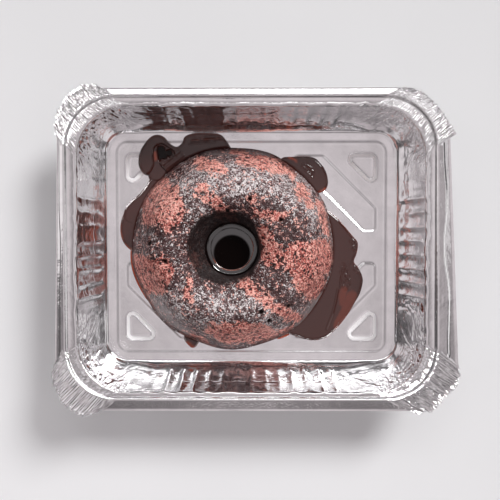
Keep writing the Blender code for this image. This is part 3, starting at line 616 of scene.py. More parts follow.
def make_stations():
    """Places counter-clockwise from the right wall: kind, side and value. The value is the share of a
    corner or of a run, negative before the flutes, or the place along the flutes."""
    stations = []
    runs = [(step + 1) / (RUN_STEPS + 1) for step in range(RUN_STEPS)]
    for side, flutes in enumerate(FLUTE_COUNTS):
        zone = FLUTE_PITCH * flutes / 2
        steps = flutes * FLUTE_STEPS
        stations += [("run", side, share - 1.0) for share in runs]
        stations += [("flute", side, -zone + 2 * zone * step / steps) for step in range(steps + 1)]
        stations += [("run", side, share) for share in runs]
        stations += [("corner", side, step / CORNER_STEPS) for step in range(CORNER_STEPS + 1)]
    return stations


KINDS, SIDES, VALUES = (np.array(column) for column in zip(*make_stations()))
IN_CORNER = KINDS == "corner"
BEFORE_FLUTES = (KINDS == "run") & (VALUES < 0)
AFTER_FLUTES = (KINDS == "run") & (VALUES > 0)
IN_RUN = BEFORE_FLUTES | AFTER_FLUTES
ANGLES = math.pi / 2 * (SIDES + IN_CORNER * VALUES)
NORMALS = np.column_stack((np.cos(ANGLES), np.sin(ANGLES)))
# The corner that each station belongs to, and the distance along the mouth from that corner's middle
CORNERS = np.where(BEFORE_FLUTES, SIDES - 1, SIDES) % 4
FROM_CORNER = HALF_ARC + RUN_LENGTH * np.where(IN_RUN, 1.0 - np.abs(VALUES), 1.0)
ARCS = np.select((IN_CORNER, AFTER_FLUTES), (HALF_ARC * (2.0 * VALUES - 1.0), -FROM_CORNER), FROM_CORNER)
# 0 at a corner's ends and 1 over most of it
CORNER_SHARE = IN_CORNER * np.clip(CORNER_FADE * np.minimum(VALUES, 1.0 - VALUES), 0.0, 1.0)


class Ring:
    """One closed line round the tray: four straight runs joined by four arcs."""

    def __init__(self, left_front, left_back, right_front, right_back, front, back, radius):
        self.radius = radius
        self.centres = np.array((
            (right_back - radius, back - radius), (left_back + radius, back - radius),
            (left_front + radius, front + radius), (right_front - radius, front + radius)))

    @classmethod
    def even(cls, half_x, half_y, radius):
        return cls(-half_x, -half_x, half_x, half_x, -half_y, half_y, radius)

    @classmethod
    def between(cls, low, high, share):
        made = cls.even(0.0, 0.0, lerp(low.radius, high.radius, share))
        made.centres = lerp(low.centres, high.centres, share)
        return made

    def points(self, reach=0.0):
        """This ring's point at each station, pushed outwards by reach."""
        directions = np.array(SIDE_DIRECTIONS)[SIDES]
        zones = FLUTE_PITCH * np.array(FLUTE_COUNTS)[SIDES] / 2
        start, end = (self.centres[sides] + self.radius * NORMALS for sides in (SIDES - 1, SIDES))
        first, last = (np.sum(place * directions, axis=1) for place in (start, end))
        along = np.select((BEFORE_FLUTES, AFTER_FLUTES),
                          (lerp(-zones, first, -VALUES), lerp(zones, last, VALUES)), VALUES)
        share = np.where(IN_CORNER, 1.0, (along - first) / (last - first))
        return lerp(start, end, share[:, None]) + np.reshape(reach, (-1, 1)) * NORMALS


def side_values(values):
    """A value for each side, carried smoothly round the corners, at every station."""
    values = np.array(values)
    return lerp(values[SIDES], values[(SIDES + 1) % 4], IN_CORNER * smooth_step(0.0, 1.0, VALUES))


def flute_wave():
    """The wall's soft flutes, uneven in depth and weak in the middle of the long sides."""
    rng = random.Random(11)
    wave = np.zeros(len(VALUES))
    for side, flutes in enumerate(FLUTE_COUNTS):
        depths = draws(rng, flutes, FLUTE_UNEVEN)
        own = (KINDS == "flute") & (SIDES == side)
        zone = FLUTE_PITCH * flutes / 2
        turns = (VALUES[own] + zone) / FLUTE_PITCH
        depth = depths[np.minimum(turns.astype(int), flutes - 1)]
        ends = np.clip(np.minimum(turns, flutes - turns), 0.0, 1.0)
        to_middle = lerp(FLUTE_MIDDLE[side], 1.0, smooth_step(0.22, 0.50, np.abs(VALUES[own]) / zone))
        lean = turns + FLUTE_LEAN * np.sin(2 * math.pi * turns)
        hollow = 0.5 - 0.5 * np.cos(2 * math.pi * lean) - FLUTE_LEVEL
        wave[own] = hollow * depth * ends * to_middle * SIDE_FLUTES[side]
    return wave


FLUTES = flute_wave()


def pleat_wave(seed):
    """Sharp folds round the corners, each with its own height, place and lean."""
    rng = random.Random(seed)
    wave = np.zeros(len(VALUES))
    for corner in range(4):
        bounds = np.append(0.0, np.cumsum(draws(rng, PLEATS, PLEAT_WIDTHS)))
        starts, ends = bounds[:-1] / bounds[-1], bounds[1:] / bounds[-1]
        heights = draws(rng, PLEATS, PLEAT_HEIGHTS)
        leans = draws(rng, PLEATS, PLEAT_LEANS)
        lows = draws(rng, PLEATS + 1, PLEAT_LOWS)
        places = np.column_stack([lerp(starts, ends, share) for share in (0.0, PLEAT_BEND, 1.0 - PLEAT_BEND)])
        levels = np.column_stack((lows[:-1], heights, heights + leans))
        own = IN_CORNER & (SIDES == corner)
        wave[own] = np.interp(VALUES[own], np.append(places, 1.0), np.append(levels, lows[-1]))
    return wave * CORNER_SHARE


def ear_reach():
    """How far the corners' ears reach beyond the flange's ring."""
    reach = np.zeros(len(VALUES))
    for corner, reaches in enumerate(EAR_REACH):
        own = IN_CORNER & (SIDES == corner)
        reach[own] = np.interp(VALUES[own], np.linspace(0.0, 1.0, len(reaches)), reaches)
    return reach


# Tray floor

RIB_LINES = quarter_lines(RIB_CORNERS, RIB_BEND)
BAND_LINES = quarter_lines(BAND_CORNERS, BAND_BEND)


def floor_height(points):
    """Height of the floor's upper face, with its step, ribs and slanting bands."""
    beyond = np.abs(points) - (np.array(PANEL_HALF) - PANEL_RADIUS)
    outside = np.hypot(*np.maximum(beyond, 0.0).T) + np.minimum(beyond.max(axis=1), 0.0)
    low = BAND_TOP - BAND_TILT * BAND_RUN
    height = lerp(PANEL_TOP, low, smooth_step(PANEL_RADIUS, PANEL_RADIUS + STEP_WIDTH, outside))
    height += BAND_TILT * np.clip(outside - PANEL_RADIUS - STEP_WIDTH, 0.0, BAND_RUN)
    share = np.clip(np.abs(depth_inside(points, *RIB_LINES)) / (0.5 * RIB_WIDTH), 0.0, 1.0)
    height += RIB_RISE * (0.5 + 0.5 * np.cos(math.pi * share))
    bands = smooth_step(-0.5 * BAND_SLOPE, 0.5 * BAND_SLOPE, depth_inside(points, *BAND_LINES))
    return height - BAND_SINK * bands


def rib_highlight_cover(points):
    """1 along the ribs, where a white highlight is painted on the foil, falling to 0 beside them."""
    return smooth_step(*RIB_HIGHLIGHT_EDGES, np.abs(depth_inside(points, *RIB_LINES)))


def build_floor(finish):
    edge = Ring.even(*FOOT_HALF, FOOT_RADIUS).points(-FILLET_RUN)[::2]
    x, y = (np.linspace(-half, half, int(2 * half / FLOOR_MESH)) for half in FOOT_HALF)
    grid = np.stack(np.meshgrid(x, y), -1)
    fine = grid.reshape(-1, 2)
    coarse = grid[::COARSE, ::COARSE].reshape(-1, 2)
    fine = fine[np.hypot(*(fine - CAKE_PLACE).T) > HIDDEN_RADIUS]
    coarse = coarse[np.hypot(*(coarse - CAKE_PLACE).T) < HIDDEN_RADIUS - MESH_GAP]
    fine = fine[depth_inside(fine, edge) > 0.6 * FLOOR_MESH]
    flat, faces = fill_line(edge, np.vstack((fine, coarse)))
    fade = np.clip(np.abs(depth_inside(flat, edge)) / EDGE_FADE, 0.0, 1.0)
    height = floor_height(flat) + layered(at_height(flat), FLOOR_DENTS) * fade
    piece = make_piece("tray_floor", at_height(flat, height), faces, finish, 60.0, {"rib_highlight": rib_highlight_cover(flat)})
    return thicken(piece, FOIL, 60.0)


# Tray walls

def wall_rows():
    """Heights of the wall's rows and how far each lies inside the plain slope, for the round foot."""
    rows = []
    for step in range(FILLET_STEPS):
        angle = FILLET_TURN * step / FILLET_STEPS
        height = FILLET * (1.0 - math.cos(angle))
        inset = height / math.tan(FILLET_TURN) + FILLET_RUN - FILLET * math.sin(angle)
        rows.append((BAND_TOP + height, inset))
    low = BAND_TOP + FILLET * (1.0 - math.cos(FILLET_TURN))
    for row in range(WALL_ROWS + 1):
        rows.append((lerp(low, WALL_TOP, (row / WALL_ROWS) ** ROW_SPREAD), 0.0))
    return rows


def crease_table(seed):
    """Long straight creases from the rim near each corner down over the wall beside it: corner, place and
    height share of both ends, half width and depth."""
    rng = random.Random(seed)
    made = []
    for corner in range(4):
        for side in (-1, 1):
            for _ in range(CREASES):
                start = side * rng.uniform(*CREASE_STARTS) * MM
                end = start + side * rng.uniform(*CREASE_SLANTS) * MM
                top = rng.uniform(*CREASE_TOPS)
                bottom = top - rng.uniform(*CREASE_DROPS)
                depth = rng.choice((-1, 1)) * rng.uniform(*CREASE_DEPTHS) * MM
                made.append((corner, start, top, end, bottom, rng.uniform(*CREASE_WIDTHS) * MM, depth))
    return made


def crease_push(share, table):
    """How far the long creases push one row of the wall."""
    push = np.zeros(len(VALUES))
    for corner, start, top, end, bottom, width, depth in table:
        if bottom < share < top:
            along = (top - share) / (top - bottom)
            near = np.abs(ARCS - lerp(start, end, along)) / width
            fade = math.sin(math.pi * along) ** 0.5
            push += depth * fade * np.clip(1.0 - near, 0.0, 1.0) * (CORNERS == corner)
    return push


def ding_cover(points):
    """0 to 1 inside the places where the foil was dented by hand."""
    cover = np.zeros(len(points))
    for x, y, radius in DINGS:
        near = np.hypot(points[:, 0] - x * MM, points[:, 1] - y * MM) / (radius * MM)
        cover = np.maximum(cover, smooth_step(1.0, 0.4, near))
    return cover


def corner_folds(share, seed):
    """Long folds that fan out from a corner over the walls beside it, strongest near the rim."""
    spread = ARCS / (1.0 + FOLD_SPREAD * (1.0 - share))
    level = np.full(len(VALUES), share)
    mask_at = np.column_stack((spread / FOLD_PATCH, CORNERS * PATCH_APART, level * PATCH_ROWS))
    mask = smooth_step(*FOLD_COVER, 0.5 + 0.5 * soft_noise(mask_at, 1.0, seed + 1))
    lines = np.zeros(len(VALUES))
    for size, weight in FOLD_SIZES:
        points = np.column_stack((spread / (size * MM), CORNERS * FOLD_APART, level * FOLD_ROWS / size))
        lines += weight * creased(points, 1.0, seed) * mask
    return lines


def flute_window(place, share, taper):
    """Strength of the flutes in one row: full from a little above the foot up to the rim's crushed edge."""
    ends = FLUTE_WANDER * soft_noise(place * (1.0, 1.0, 0.0), FLUTE_WANDER_SIZE, 19)
    window = smooth_step(FLUTE_FOOT[0] + ends, FLUTE_FOOT[1] + ends, share)
    window *= 1.0 - FLUTE_CRUSH * smooth_step(FLUTE_TOP + ends, 1.0, share)
    return window * (1.0 - taper * share)


def build_walls(finish):
    foot = Ring.even(*FOOT_HALF, FOOT_RADIUS)
    opening = Ring(*OPENING)
    slant = smooth_step(RUN_LENGTH, 0.0, np.abs(ARCS) - HALF_ARC)
    tuck_depth = side_values(FOOT_TUCK) * (1.0 - slant)
    tuck_height = side_values(TUCK_HEIGHT)
    taper = side_values(FLUTE_TAPER)
    near_corner = smooth_step(*CORNER_ZONE, np.abs(ARCS))
    creases = crease_table(7)
    rows = []
    for height, inset in wall_rows():
        share = (height - BAND_TOP) / (WALL_TOP - BAND_TOP)
        ring = Ring.between(foot, opening, share)
        place = at_height(ring.points(), height)
        tuck = tuck_depth * np.minimum(1.0, (height - BAND_TOP) / tuck_height) * (1.0 - share)
        push = WALL_WAVE * crumple(place, WALL_WAVE_SIZE, 21) * (WAVE_SHARE + WAVE_AT_CORNER * slant)
        push += layered(place * STREAK_STRETCH, WALL_STREAKS) * (1.0 - slant)
        crushed = near_corner * smooth_step(*CRUSH_HEIGHTS, share)
        crushed = np.maximum(crushed, DING_CRUSH[0] * ding_cover(place))
        push += WALL_CRUSH * crumple(place * CRUSH_STRETCH, WALL_CRUSH_SIZE, 23) * crushed
        push += FOLD_DEPTH * corner_folds(share, 5) * smooth_step(*FOLD_HEIGHTS, share) * near_corner
        push += crease_push(share, creases) + WALL_BOW * math.sin(math.pi * share)
        push *= smooth_step(*PLAIN_FOOT, share) * (1.0 - smooth_step(*PLAIN_EDGE, share))
        reach = FLUTE_DEPTH * FLUTES * flute_window(place, share, taper) + push + tuck - inset
        rows.append(at_height(ring.points(reach), height))
    return build_sheet("tray_walls", rows, finish, creases=80.0)


# Tray rim

def rim_rows():
    """Rows of the rim from the opening edge over the ledge and up its step: share of the ledge, distance
    beyond it, height and pleat strength. Both edges carry a slanting facet."""
    rows = []
    for share in (0.0, 1 / 3, 2 / 3, 1.0):
        angle = EDGE_TURN * share
        beyond = EDGE_ROUND * (1 - math.cos(angle))
        rows.append((0.0, beyond, WALL_TOP + EDGE_ROUND * math.sin(angle), PLEATS_AT_EDGE * share))
    inner = EDGE_ROUND * (1 - math.cos(EDGE_TURN)) + FACET_WIDTH
    for share in np.arange(8) / 8:
        height = RIM_HEIGHT - LEDGE_SAG * math.sin(math.pi * share)
        rows.append((share, inner * (1.0 - share), height, lerp(*PLEATS_ON_LEDGE, share)))
    for share in (0.0, 0.35, 0.75, 1.0):
        rise = (LEDGE_STEP - FACET_RISE) * smooth_step(0.0, 1.0, share)
        rows.append((1.0, LEDGE_STEP_WIDTH * share, RIM_HEIGHT + rise, PLEATS_ON_STEP))
    rows.append((1.0, LEDGE_STEP_WIDTH + FACET_WIDTH, RIM_HEIGHT + LEDGE_STEP, PLEATS_ON_STEP))
    return rows


def flange_rows(ledge, pleats, others):
    """Rows of points over the flange, its rolled edge and the lip under it."""
    level = at_height(ledge)
    ragged = layered(level, RAGGED_EDGE) * CORNER_SHARE
    outer = Ring(*FLANGE).points(ear_reach() + ragged + PLEAT_REACH * pleats)
    inner = ledge + NORMALS * (LEDGE_STEP_WIDTH + FACET_WIDTH)
    ear = IN_CORNER * np.minimum(1.0, EAR_BEND * VALUES * (1.0 - VALUES))
    drop = side_values(FLANGE_FALL) - np.array(CORNER_LIFT)[CORNERS] * ear
    folded = ~IN_CORNER * np.array(FOLD_SIDES)[SIDES]
    fold_at = FOLD_AT + FOLD_LINE * soft_noise(level, FOLD_LINE_SIZE, 35)
    top = RIM_HEIGHT + LEDGE_STEP
    rows = []
    for share in np.arange(1, FLANGE_STEPS + 1) / FLANGE_STEPS:
        wave = lerp(pleats, others, smooth_step(*PLEAT_CHANGE, share))
        fold = smooth_step(fold_at - FOLD_HALF, fold_at + FOLD_HALF, share)
        fall = drop * lerp(share, fold * lerp(*FOLD_FALL, share), FOLD_WEIGHT * folded)
        rise = BEAD_RISE * smooth_step(*BEAD, share) + PLEAT_RISE * lerp(*PLEATS_ON_FLANGE, share) * wave
        rows.append(at_height(lerp(inner, outer, share), top - fall + rise))
    edge = top - drop + BEAD_RISE + PLEATS_ON_LIP * PLEAT_RISE * others
    for share in (0.25, 0.5, 0.75, 1.0):
        angle = LIP_TURN * share
        beyond = EDGE_ROUND * (math.sin(angle) - 1.0)
        rows.append(at_height(outer + NORMALS * beyond, edge - EDGE_ROUND * (1 - math.cos(angle))))
    rows.append(at_height(outer - NORMALS * (0.6 * EDGE_ROUND), edge - LIP_DEPTH))
    return rows


def build_rim(finish):
    opening = Ring(*OPENING).points()
    ledge = Ring(*LEDGE).points()
    pleats, others = pleat_wave(41), pleat_wave(42)
    scallops = RIM_SCALLOPS * FLUTES + layered(at_height(ledge), LEDGE_WANDER) * (1.0 - CORNER_SHARE)
    rows = []
    for share, beyond, height, strength in rim_rows():
        base = lerp(opening, ledge, share) + NORMALS * (beyond + (1.0 - share) * scallops)[:, None]
        rows.append(at_height(base, height + PLEAT_RISE * strength * pleats))
    rows += flange_rows(ledge, pleats, others)
    points = np.concatenate(rows)
    row_of = np.repeat(np.arange(len(rows)), len(VALUES))
    arcs, corners = np.tile((ARCS, RADIAL_APART * CORNERS), len(rows))
    share = np.tile(np.maximum(CORNER_SHARE, side_values(SIDE_CRUSH)), len(rows))
    radial = crumple(np.column_stack((arcs, corners, RADIAL_STEP * row_of)), RADIAL_SIZE, 55)
    crushed = CRUSH_SHARE * crumple(points, RIM_CRUSH_SIZE, 53)
    crushed += RADIAL_SHARE * radial * (share > RADIAL_FROM)
    crushed *= RIM_CRUSH * np.maximum(share, DING_CRUSH[1] * ding_cover(points))
    points[:, 2] += (layered(points, RIM_DENTS) + crushed) * np.clip(row_of / CALM_ROWS, 0.0, 1.0)
    return build_sheet("tray_rim", points.reshape(len(rows), -1, 3), finish, creases=70.0)


# Cake

def cake_profile():
    """Rows of the cake from the foot over the crest into the hole: radius, height, lobes, crags, lean."""
    keys = [(CAKE_RADIUS - FOOT_BEVEL[0], CAKE_BASE, LOBE_AT_FOOT, 0.0, 0.0),
            (CAKE_RADIUS, CAKE_BASE + FOOT_BEVEL[1], LOBE_AT_FOOT, 0.1, 0.0)]
    for share in (0.2, 0.4, 0.6, 0.8):
        keys.append((lerp(CAKE_RADIUS, SHOULDER[0], share), lerp(CAKE_BASE, SHOULDER[1], share),
                     lerp(LOBE_AT_FOOT, LOBE_AT_SHOULDER, share), 0.2 + 0.8 * share, 0.0))
    for share in np.arange(DOME_STEPS + 1) / DOME_STEPS:
        keys.append((*bezier(SHOULDER, *DOME_HANDLES, CREST, share),
                     lerp(LOBE_AT_SHOULDER, LOBE_AT_CREST, share), 1.0, 0.0))
    for share in np.arange(1, FUNNEL_STEPS + 1) / FUNNEL_STEPS:
        keys.append((*bezier(CREST, *FUNNEL_HANDLES, HOLE_RIM, share),
                     lerp(LOBE_AT_CREST, LOBE_AT_RIM, share), lerp(1.0, 0.5, share), share))
    keys.append((lerp(HOLE_RIM[0], HOLE_NECK[0], 0.6), lerp(HOLE_RIM[1], HOLE_NECK[1], 0.5), 0.0, 0.2, 0.5))
    keys.append((*HOLE_NECK, 0.0, 0.0, 0.0))
    keys.append((*HOLE_END, 0.0, 0.0, 0.0))
    keys = np.array(keys)
    length = np.append(0.0, np.cumsum(np.hypot(*np.diff(keys[:, :2], axis=0).T)))
    places = np.linspace(0.0, length[-1], int(length[-1] / CAKE_PROFILE_STEP))
    return [np.interp(places, length, column) for column in keys.T]


def pit_cover(plain):
    """1 in the crust's few deep pits, falling to 0 round them."""
    cover = np.zeros(plain.shape[:-1])
    ragged = 1.0 + PIT_RAGGED * soft_noise(plain, PIT_RAGGED_SIZE, 78)
    for x, y in PITS:
        near = np.hypot(plain[..., 0] - x * MM, plain[..., 1] - y * MM) * ragged
        cover = np.maximum(cover, smooth_step(PIT_RADIUS, 0.5 * PIT_RADIUS, near))
    return cover


def build_cake(finish):
    radius, height, lobe_depth, crag, lean = (column[:, None] for column in cake_profile())
    turn = np.arange(CAKE_TURN_STEPS) * (2 * math.pi / CAKE_TURN_STEPS)
    cos, sin = np.cos(turn), np.sin(turn)
    flat = radius + lobe_depth * np.cos(LOBES * (turn - LOBE_ANGLE))
    plain = np.stack((flat * cos, flat * sin, np.broadcast_to(height, flat.shape)), -1)
    bare, smooth, glints = (patch_cover(plain[..., 0], plain[..., 1], *patches) for patches in CRUST_PATCHES)
    small, large = (pore_cover(plain, *pores) for pores in (SMALL_PORES, LARGE_PORES))
    pits = pit_cover(plain)
    swell = crag * layered(plain, CRUST_SWELL)
    fine = layered(plain, CRUST_CRUMBS) * lerp(1.0, BARE_CALM, bare) + GLAZE_RISE * (1.0 - bare)
    fine -= SMALL_PORE_DEPTH * small * bare + LARGE_PORE_DEPTH * large + PIT_DEPTH * pits
    rough = np.clip(crag, 0.0, 1.0) * (1.0 - SMOOTH_CALM * smooth)
    rise = np.minimum(1.0, height / CAKE_HEIGHT)
    out = flat + swell + fine * rough * (1.0 - rise)
    points = np.stack((out * cos + lean * HOLE_LEAN[0], out * sin + lean * HOLE_LEAN[1],
                       height + (swell + fine * rough) * rise), -1).reshape(-1, 3)
    points[:, :2] += CAKE_PLACE
    # Radius of the funnel's near-black: dark glaze with painted shade
    glaze_and_shade_radius = GLAZE_AND_SHADE_RADIUS - GLAZE_AND_SHADE_SWING * np.cos(turn - GLAZE_AND_SHADE_TURN)
    glaze_and_shade_radius = glaze_and_shade_radius + GLAZE_AND_SHADE_WANDER * soft_noise(plain, GLAZE_AND_SHADE_SIZE, 77)
    fields = {
        # Glints: where white glints are painted on the glaze and the crumbs are painted lighter
        "bare": bare, "smooth": smooth, "glints": glints,
        # Painted shade in the pores and the deep pits
        "pore_shade": np.maximum(np.maximum(small * bare, large) * rough, pits),
        # The funnel: dark glaze with painted shade
        "hole": smooth_step(glaze_and_shade_radius + GLAZE_AND_SHADE_EDGE[0], glaze_and_shade_radius - GLAZE_AND_SHADE_EDGE[1], radius),
        # Painted shade that darkens the crust towards its foot
        "side": smooth_step(FOOT_SHADE_TOP, CAKE_BASE + FOOT_BEVEL[1], height) * (lean == 0.0)}
    fields = {name: np.broadcast_to(values, flat.shape).ravel() for name, values in fields.items()}
    return make_piece("cake_crust", points, turned_over(grid_faces(len(radius), CAKE_TURN_STEPS)), finish,
                      fields=fields)


# Sauce

def build_pool(finish):
    """The sauce in the hole: a flat mirror inside a low step and a lip that is drawn up the crust."""
    rows = []
    for share in np.arange(POOL_ROWS + 1) / POOL_ROWS:
        radius = lerp(*POOL_ENDS, share)
        height = POOL_STEP * smooth_step(*STEP_ENDS, radius)
        height += LIP_SLOPE * max(0.0, radius - POOL_MIRROR)
        height += LIP_RISE * max(0.0, (radius - LIP_START) / (POOL_RADIUS - LIP_START)) ** 2
        rows.append((radius, height))
    rows += [(POOL_MIRROR * share, 0.0) for share in MIRROR_ROWS]
    turn = np.arange(POOL_STEPS) * (2 * math.pi / POOL_STEPS)
    around = np.column_stack((np.cos(turn), np.sin(turn)))
    uneven = 1.0
    for size, count, start in POOL_WAVES:
        uneven = uneven + size * np.sin(count * turn + start)
    thin_side = THIN_SHARE * smooth_step(*THIN_ENDS, np.sin(turn - THIN_TURN))
    points, depth = [], []
    for radius, height in rows:
        wide = radius * lerp(1.0, uneven, smooth_step(0.0, POOL_RADIUS, radius))
        points.append(at_height(around * wide[:, None], POOL_LEVEL + height))
        depth.append(1.0 - thin_side * (abs(radius - POOL_MIRROR - STEP_MIDDLE) < STEP_HALF))
    points = np.vstack((*points, (0.0, 0.0, POOL_LEVEL)))
    points[:, :2] += CAKE_PLACE
    last = (len(rows) - 1) * POOL_STEPS
    fan = [(last + index, last + (index + 1) % POOL_STEPS, last + POOL_STEPS) for index in range(POOL_STEPS)]
    faces = grid_faces(len(rows), POOL_STEPS) + turned_over(fan)
    return make_piece("sauce_pool_surface", points, faces, finish,
                      fields={"depth": np.append(depth, 1.0)})


def puddle_outline(sauce):
    """Closed outline, counter-clockwise, that runs under the cake's foot."""
    free = [np.array((x, y)) * MM for x, y in sauce["edge"]]
    foot = []
    if sauce["foot"]:
        angles = np.radians(np.linspace(*sauce["foot"], 13))
        radius = CAKE_RADIUS - UNDER_CAKE
        foot = [np.array(CAKE_PLACE) + radius * np.array((math.cos(a), math.sin(a))) for a in angles]
        if np.linalg.norm(free[-1] - foot[0]) > np.linalg.norm(free[-1] - foot[-1]):
            foot.reverse()
    line = smooth_closed(free + foot, 5)
    area = sum(a[0] * b[1] - b[0] * a[1] for a, b in zip(line, np.roll(line, -1, axis=0)))
    return line if area > 0 else line[::-1]


def ridge_cover(x, y, line, width):
    """1 on an open line of points given in millimetres, falling to 0 at half the width from it."""
    strips = [(*start, *end, 0.0) for start, end in zip(line, line[1:])]
    return smooth_step(-0.5 * width, 0.0, patch_depth(x, y, strips))


def widest_cover(x, y, strips, edge, wander):
    """Cover of strips that each have their own full strength."""
    covers = [patch_cover(x, y, (strip,), edge, wander) for strip in strips]
    return np.max(covers, axis=0) if covers else np.zeros_like(x)


def build_sauce(name, sauce, finish):
    sauce = {**PLAIN_SAUCE, **sauce}
    outline = puddle_outline(sauce)
    low, high = outline.min(axis=0), outline.max(axis=0)
    x, y = (np.arange(low[axis], high[axis], PUDDLE_MESH) for axis in range(2))
    grid = np.stack(np.meshgrid(x, y), -1).reshape(-1, 2)
    flat, faces = fill_line(outline, grid[depth_inside(grid, outline) > 0.5 * PUDDLE_MESH])
    x, y = flat.T
    share = np.clip(np.abs(depth_inside(flat, outline)) / PUDDLE_ROUND, 0.0, 1.0)
    wrinkled = patch_cover(x, y, sauce["wrinkles"], *SOFT_EDGE)
    ripple = layered(at_height(flat), PUDDLE_SWELL)
    ripple += WRINKLE * wrinkled * soft_noise(at_height(flat), WRINKLE_SIZE, 82)
    for line, height, width in sauce["ridges"]:
        ripple += height * MM * ridge_cover(x, y, line, width * MM)
    thin = widest_cover(x, y, sauce["thin"], *SOFT_EDGE)
    gap = widest_cover(x, y, sauce["gaps"], *GAP_EDGE)
    base = floor_height(flat)
    level = sauce["level"] * MM
    top = lerp(base + PUDDLE_EDGE * share ** 0.5, level + ripple * share, np.sqrt(1.0 - (1.0 - share) ** 2))
    top = lerp(top, base + GAP_DEPTH, GAP_SINK * gap)
    count = len(flat)
    points = np.concatenate((at_height(flat, top), at_height(flat, base - UNDER_FLOOR)))
    sides = [(a, b) for face in faces for a, b in zip(face, face[1:] + face[:1])]
    inner = set(sides)
    bottom = [tuple(index + count for index in reversed(face)) for face in faces]
    rim = [(a + count, b + count, b, a) for a, b in sides if (b, a) not in inner]
    depth = np.clip((top - base) / (level - PANEL_TOP), sauce["dark_edge"], 1.0)
    # Gaps are painted black as shade
    depth = lerp(depth * (1.0 - sauce["clear"] * thin), GAP_SHADE_DEPTH, gap)
    return make_piece(name + "_gloss", points, faces + bottom + rim, finish,
                      fields={"depth": np.concatenate((depth, np.maximum(depth, UNDERSIDE_DEPTH)))})


# Materials

def full_colour(colour):
    """Red, green, blue and alpha; a number stands for a grey."""
    return (*colour, 1.0) if isinstance(colour, tuple) else (colour, colour, colour, 1.0)


class Nodes:
    """The nodes of a material or of the world; each call adds one and gives its result."""

    def __init__(self, owner, place="Object"):
        owner.use_nodes = True
        self.tree = owner.node_tree
        self.place = self.tree.nodes.new("ShaderNodeTexCoord").outputs[place]

    def feed(self, node, sockets):
        """Gives sockets of a node their values or other nodes' results."""
        for key, source in sockets.items():
            socket = node.inputs[key]
            if isinstance(source, bpy.types.NodeSocket):
                self.tree.links.new(source, socket)
            else:
                socket.default_value = full_colour(source) if socket.type == "RGBA" else source

    def add(self, kind, result, sockets, **settings):
        node = self.tree.nodes.new("ShaderNode" + kind)
        for key, value in settings.items():
            setattr(node, key, value)
        self.feed(node, sockets)
        return node.outputs[result]

    def field(self, name):
        return self.add("Attribute", "Fac", {}, attribute_name=name)

    def noise(self, scale, detail, roughness=0.55, distortion=0.0):
        return self.add("TexNoise", "Fac", {"Vector": self.place, "Scale": scale, "Detail": detail,
                                            "Roughness": roughness, "Distortion": distortion})

    def dots(self, scale, feature="F1"):
        return self.add("TexVoronoi", "Distance", {"Vector": self.place, "Scale": scale}, feature=feature)

    def math(self, operation, first, second):
        return self.add("Math", 0, {0: first, 1: second}, operation=operation)

    def plus(self, first, *others):
        for other in others:
            first = self.math("ADD", first, other)
        return first

    def times(self, first, second):
        return self.math("MULTIPLY", first, second)

    def centred(self, source, weight):
        """Noise moved to swing evenly about nought, times a weight."""
        return self.times(self.math("SUBTRACT", source, 0.5), weight)

    def mix(self, share, first, second, blend="MIX"):
        return self.add("Mix", 2, {0: share, 6: first, 7: second}, data_type="RGBA", blend_type=blend)

    def bump(self, height, distance, under=None):
        sockets = {"Height": height, "Distance": distance, "Strength": 1.0}
        if under is not None:
            sockets["Normal"] = under
        return self.add("Bump", "Normal", sockets)

    def towards(self, direction):
        """Cosine of the angle to a direction, or the share of the way along it, by its length."""
        return self.add("VectorMath", "Value", {0: self.place, 1: direction}, operation="DOT_PRODUCT")

    def ramp(self, source, *stops):
        """Colour ramp from (place, colour) stops."""
        node = self.tree.nodes.new("ShaderNodeValToRGB")
        elements = node.color_ramp.elements
        while len(elements) < len(stops):
            elements.new(0.5)
        for element, (place, colour) in zip(elements, stops):
            element.position = place
            element.color = full_colour(colour)
        self.feed(node, {"Fac": source})
        return node.outputs["Color"]

    def shade(self, **sockets):
        """Feeds the surface shader; its sockets are named with underscores."""
        self.feed(self.tree.nodes["Principled BSDF"],
                  {name.replace("_", " "): source for name, source in sockets.items()})


def foil_material(name, roughness, crinkle, wave):
    """Bright aluminium foil with fine creases and cloudy patches, and a white highlight painted along the
    ribs, where it is not metallic.
    """
    made = bpy.data.materials.new(name)
    nodes = Nodes(made)
    rib_highlight = nodes.field("rib_highlight")
    cloud = nodes.ramp(nodes.noise(55.0, 4.0), (0.3, FOIL_GREY), (0.7, FOIL_PALE))
    creases = nodes.bump(nodes.dots(620.0, "SMOOTH_F1"), crinkle)
    # Along the ribs the foil is painted white and not metallic: a painted highlight
    nodes.shade(
        Base_Color=nodes.mix(rib_highlight, cloud, RIB_HIGHLIGHT_WHITE),
        Metallic=nodes.math("SUBTRACT", 1.0, rib_highlight),
        Roughness=nodes.ramp(nodes.noise(130.0, 3.0), (0.3, 0.75 * roughness), (0.75, 1.35 * roughness)),
        Normal=nodes.bump(nodes.noise(90.0, 2.0), wave, creases))
    return made


def sponge_colour(nodes, grain, fine, blotch, side, glints):
    """Pale crumbs in red-brown sponge, with pores of two sizes painted dark as shade, lighter where glints
    are painted, and painted brown and plain as shade near the foot.
    """
    crumbs = nodes.plus(nodes.times(grain, 0.55), nodes.times(fine, 0.45), nodes.centred(blotch, 0.34),
                        nodes.times(glints, 0.05))
    sponge = nodes.ramp(crumbs, (0.40, SPONGE_DARK), (0.49, SPONGE), (0.57, SPONGE_LIGHT))
    for scale, size in PORE_SIZES:
        wide = nodes.plus(nodes.dots(scale), nodes.centred(blotch, 0.8))
        # The pores are painted dark as shade
        sponge = nodes.mix(nodes.ramp(wide, (size - 0.05, 1.0), (size + 0.09, 0.0)), sponge, PORE_SHADE)
    # Near the foot the sponge is painted brown as shade
    return nodes.mix(nodes.times(side, 0.85), sponge, FOOT_SHADE_BROWN)


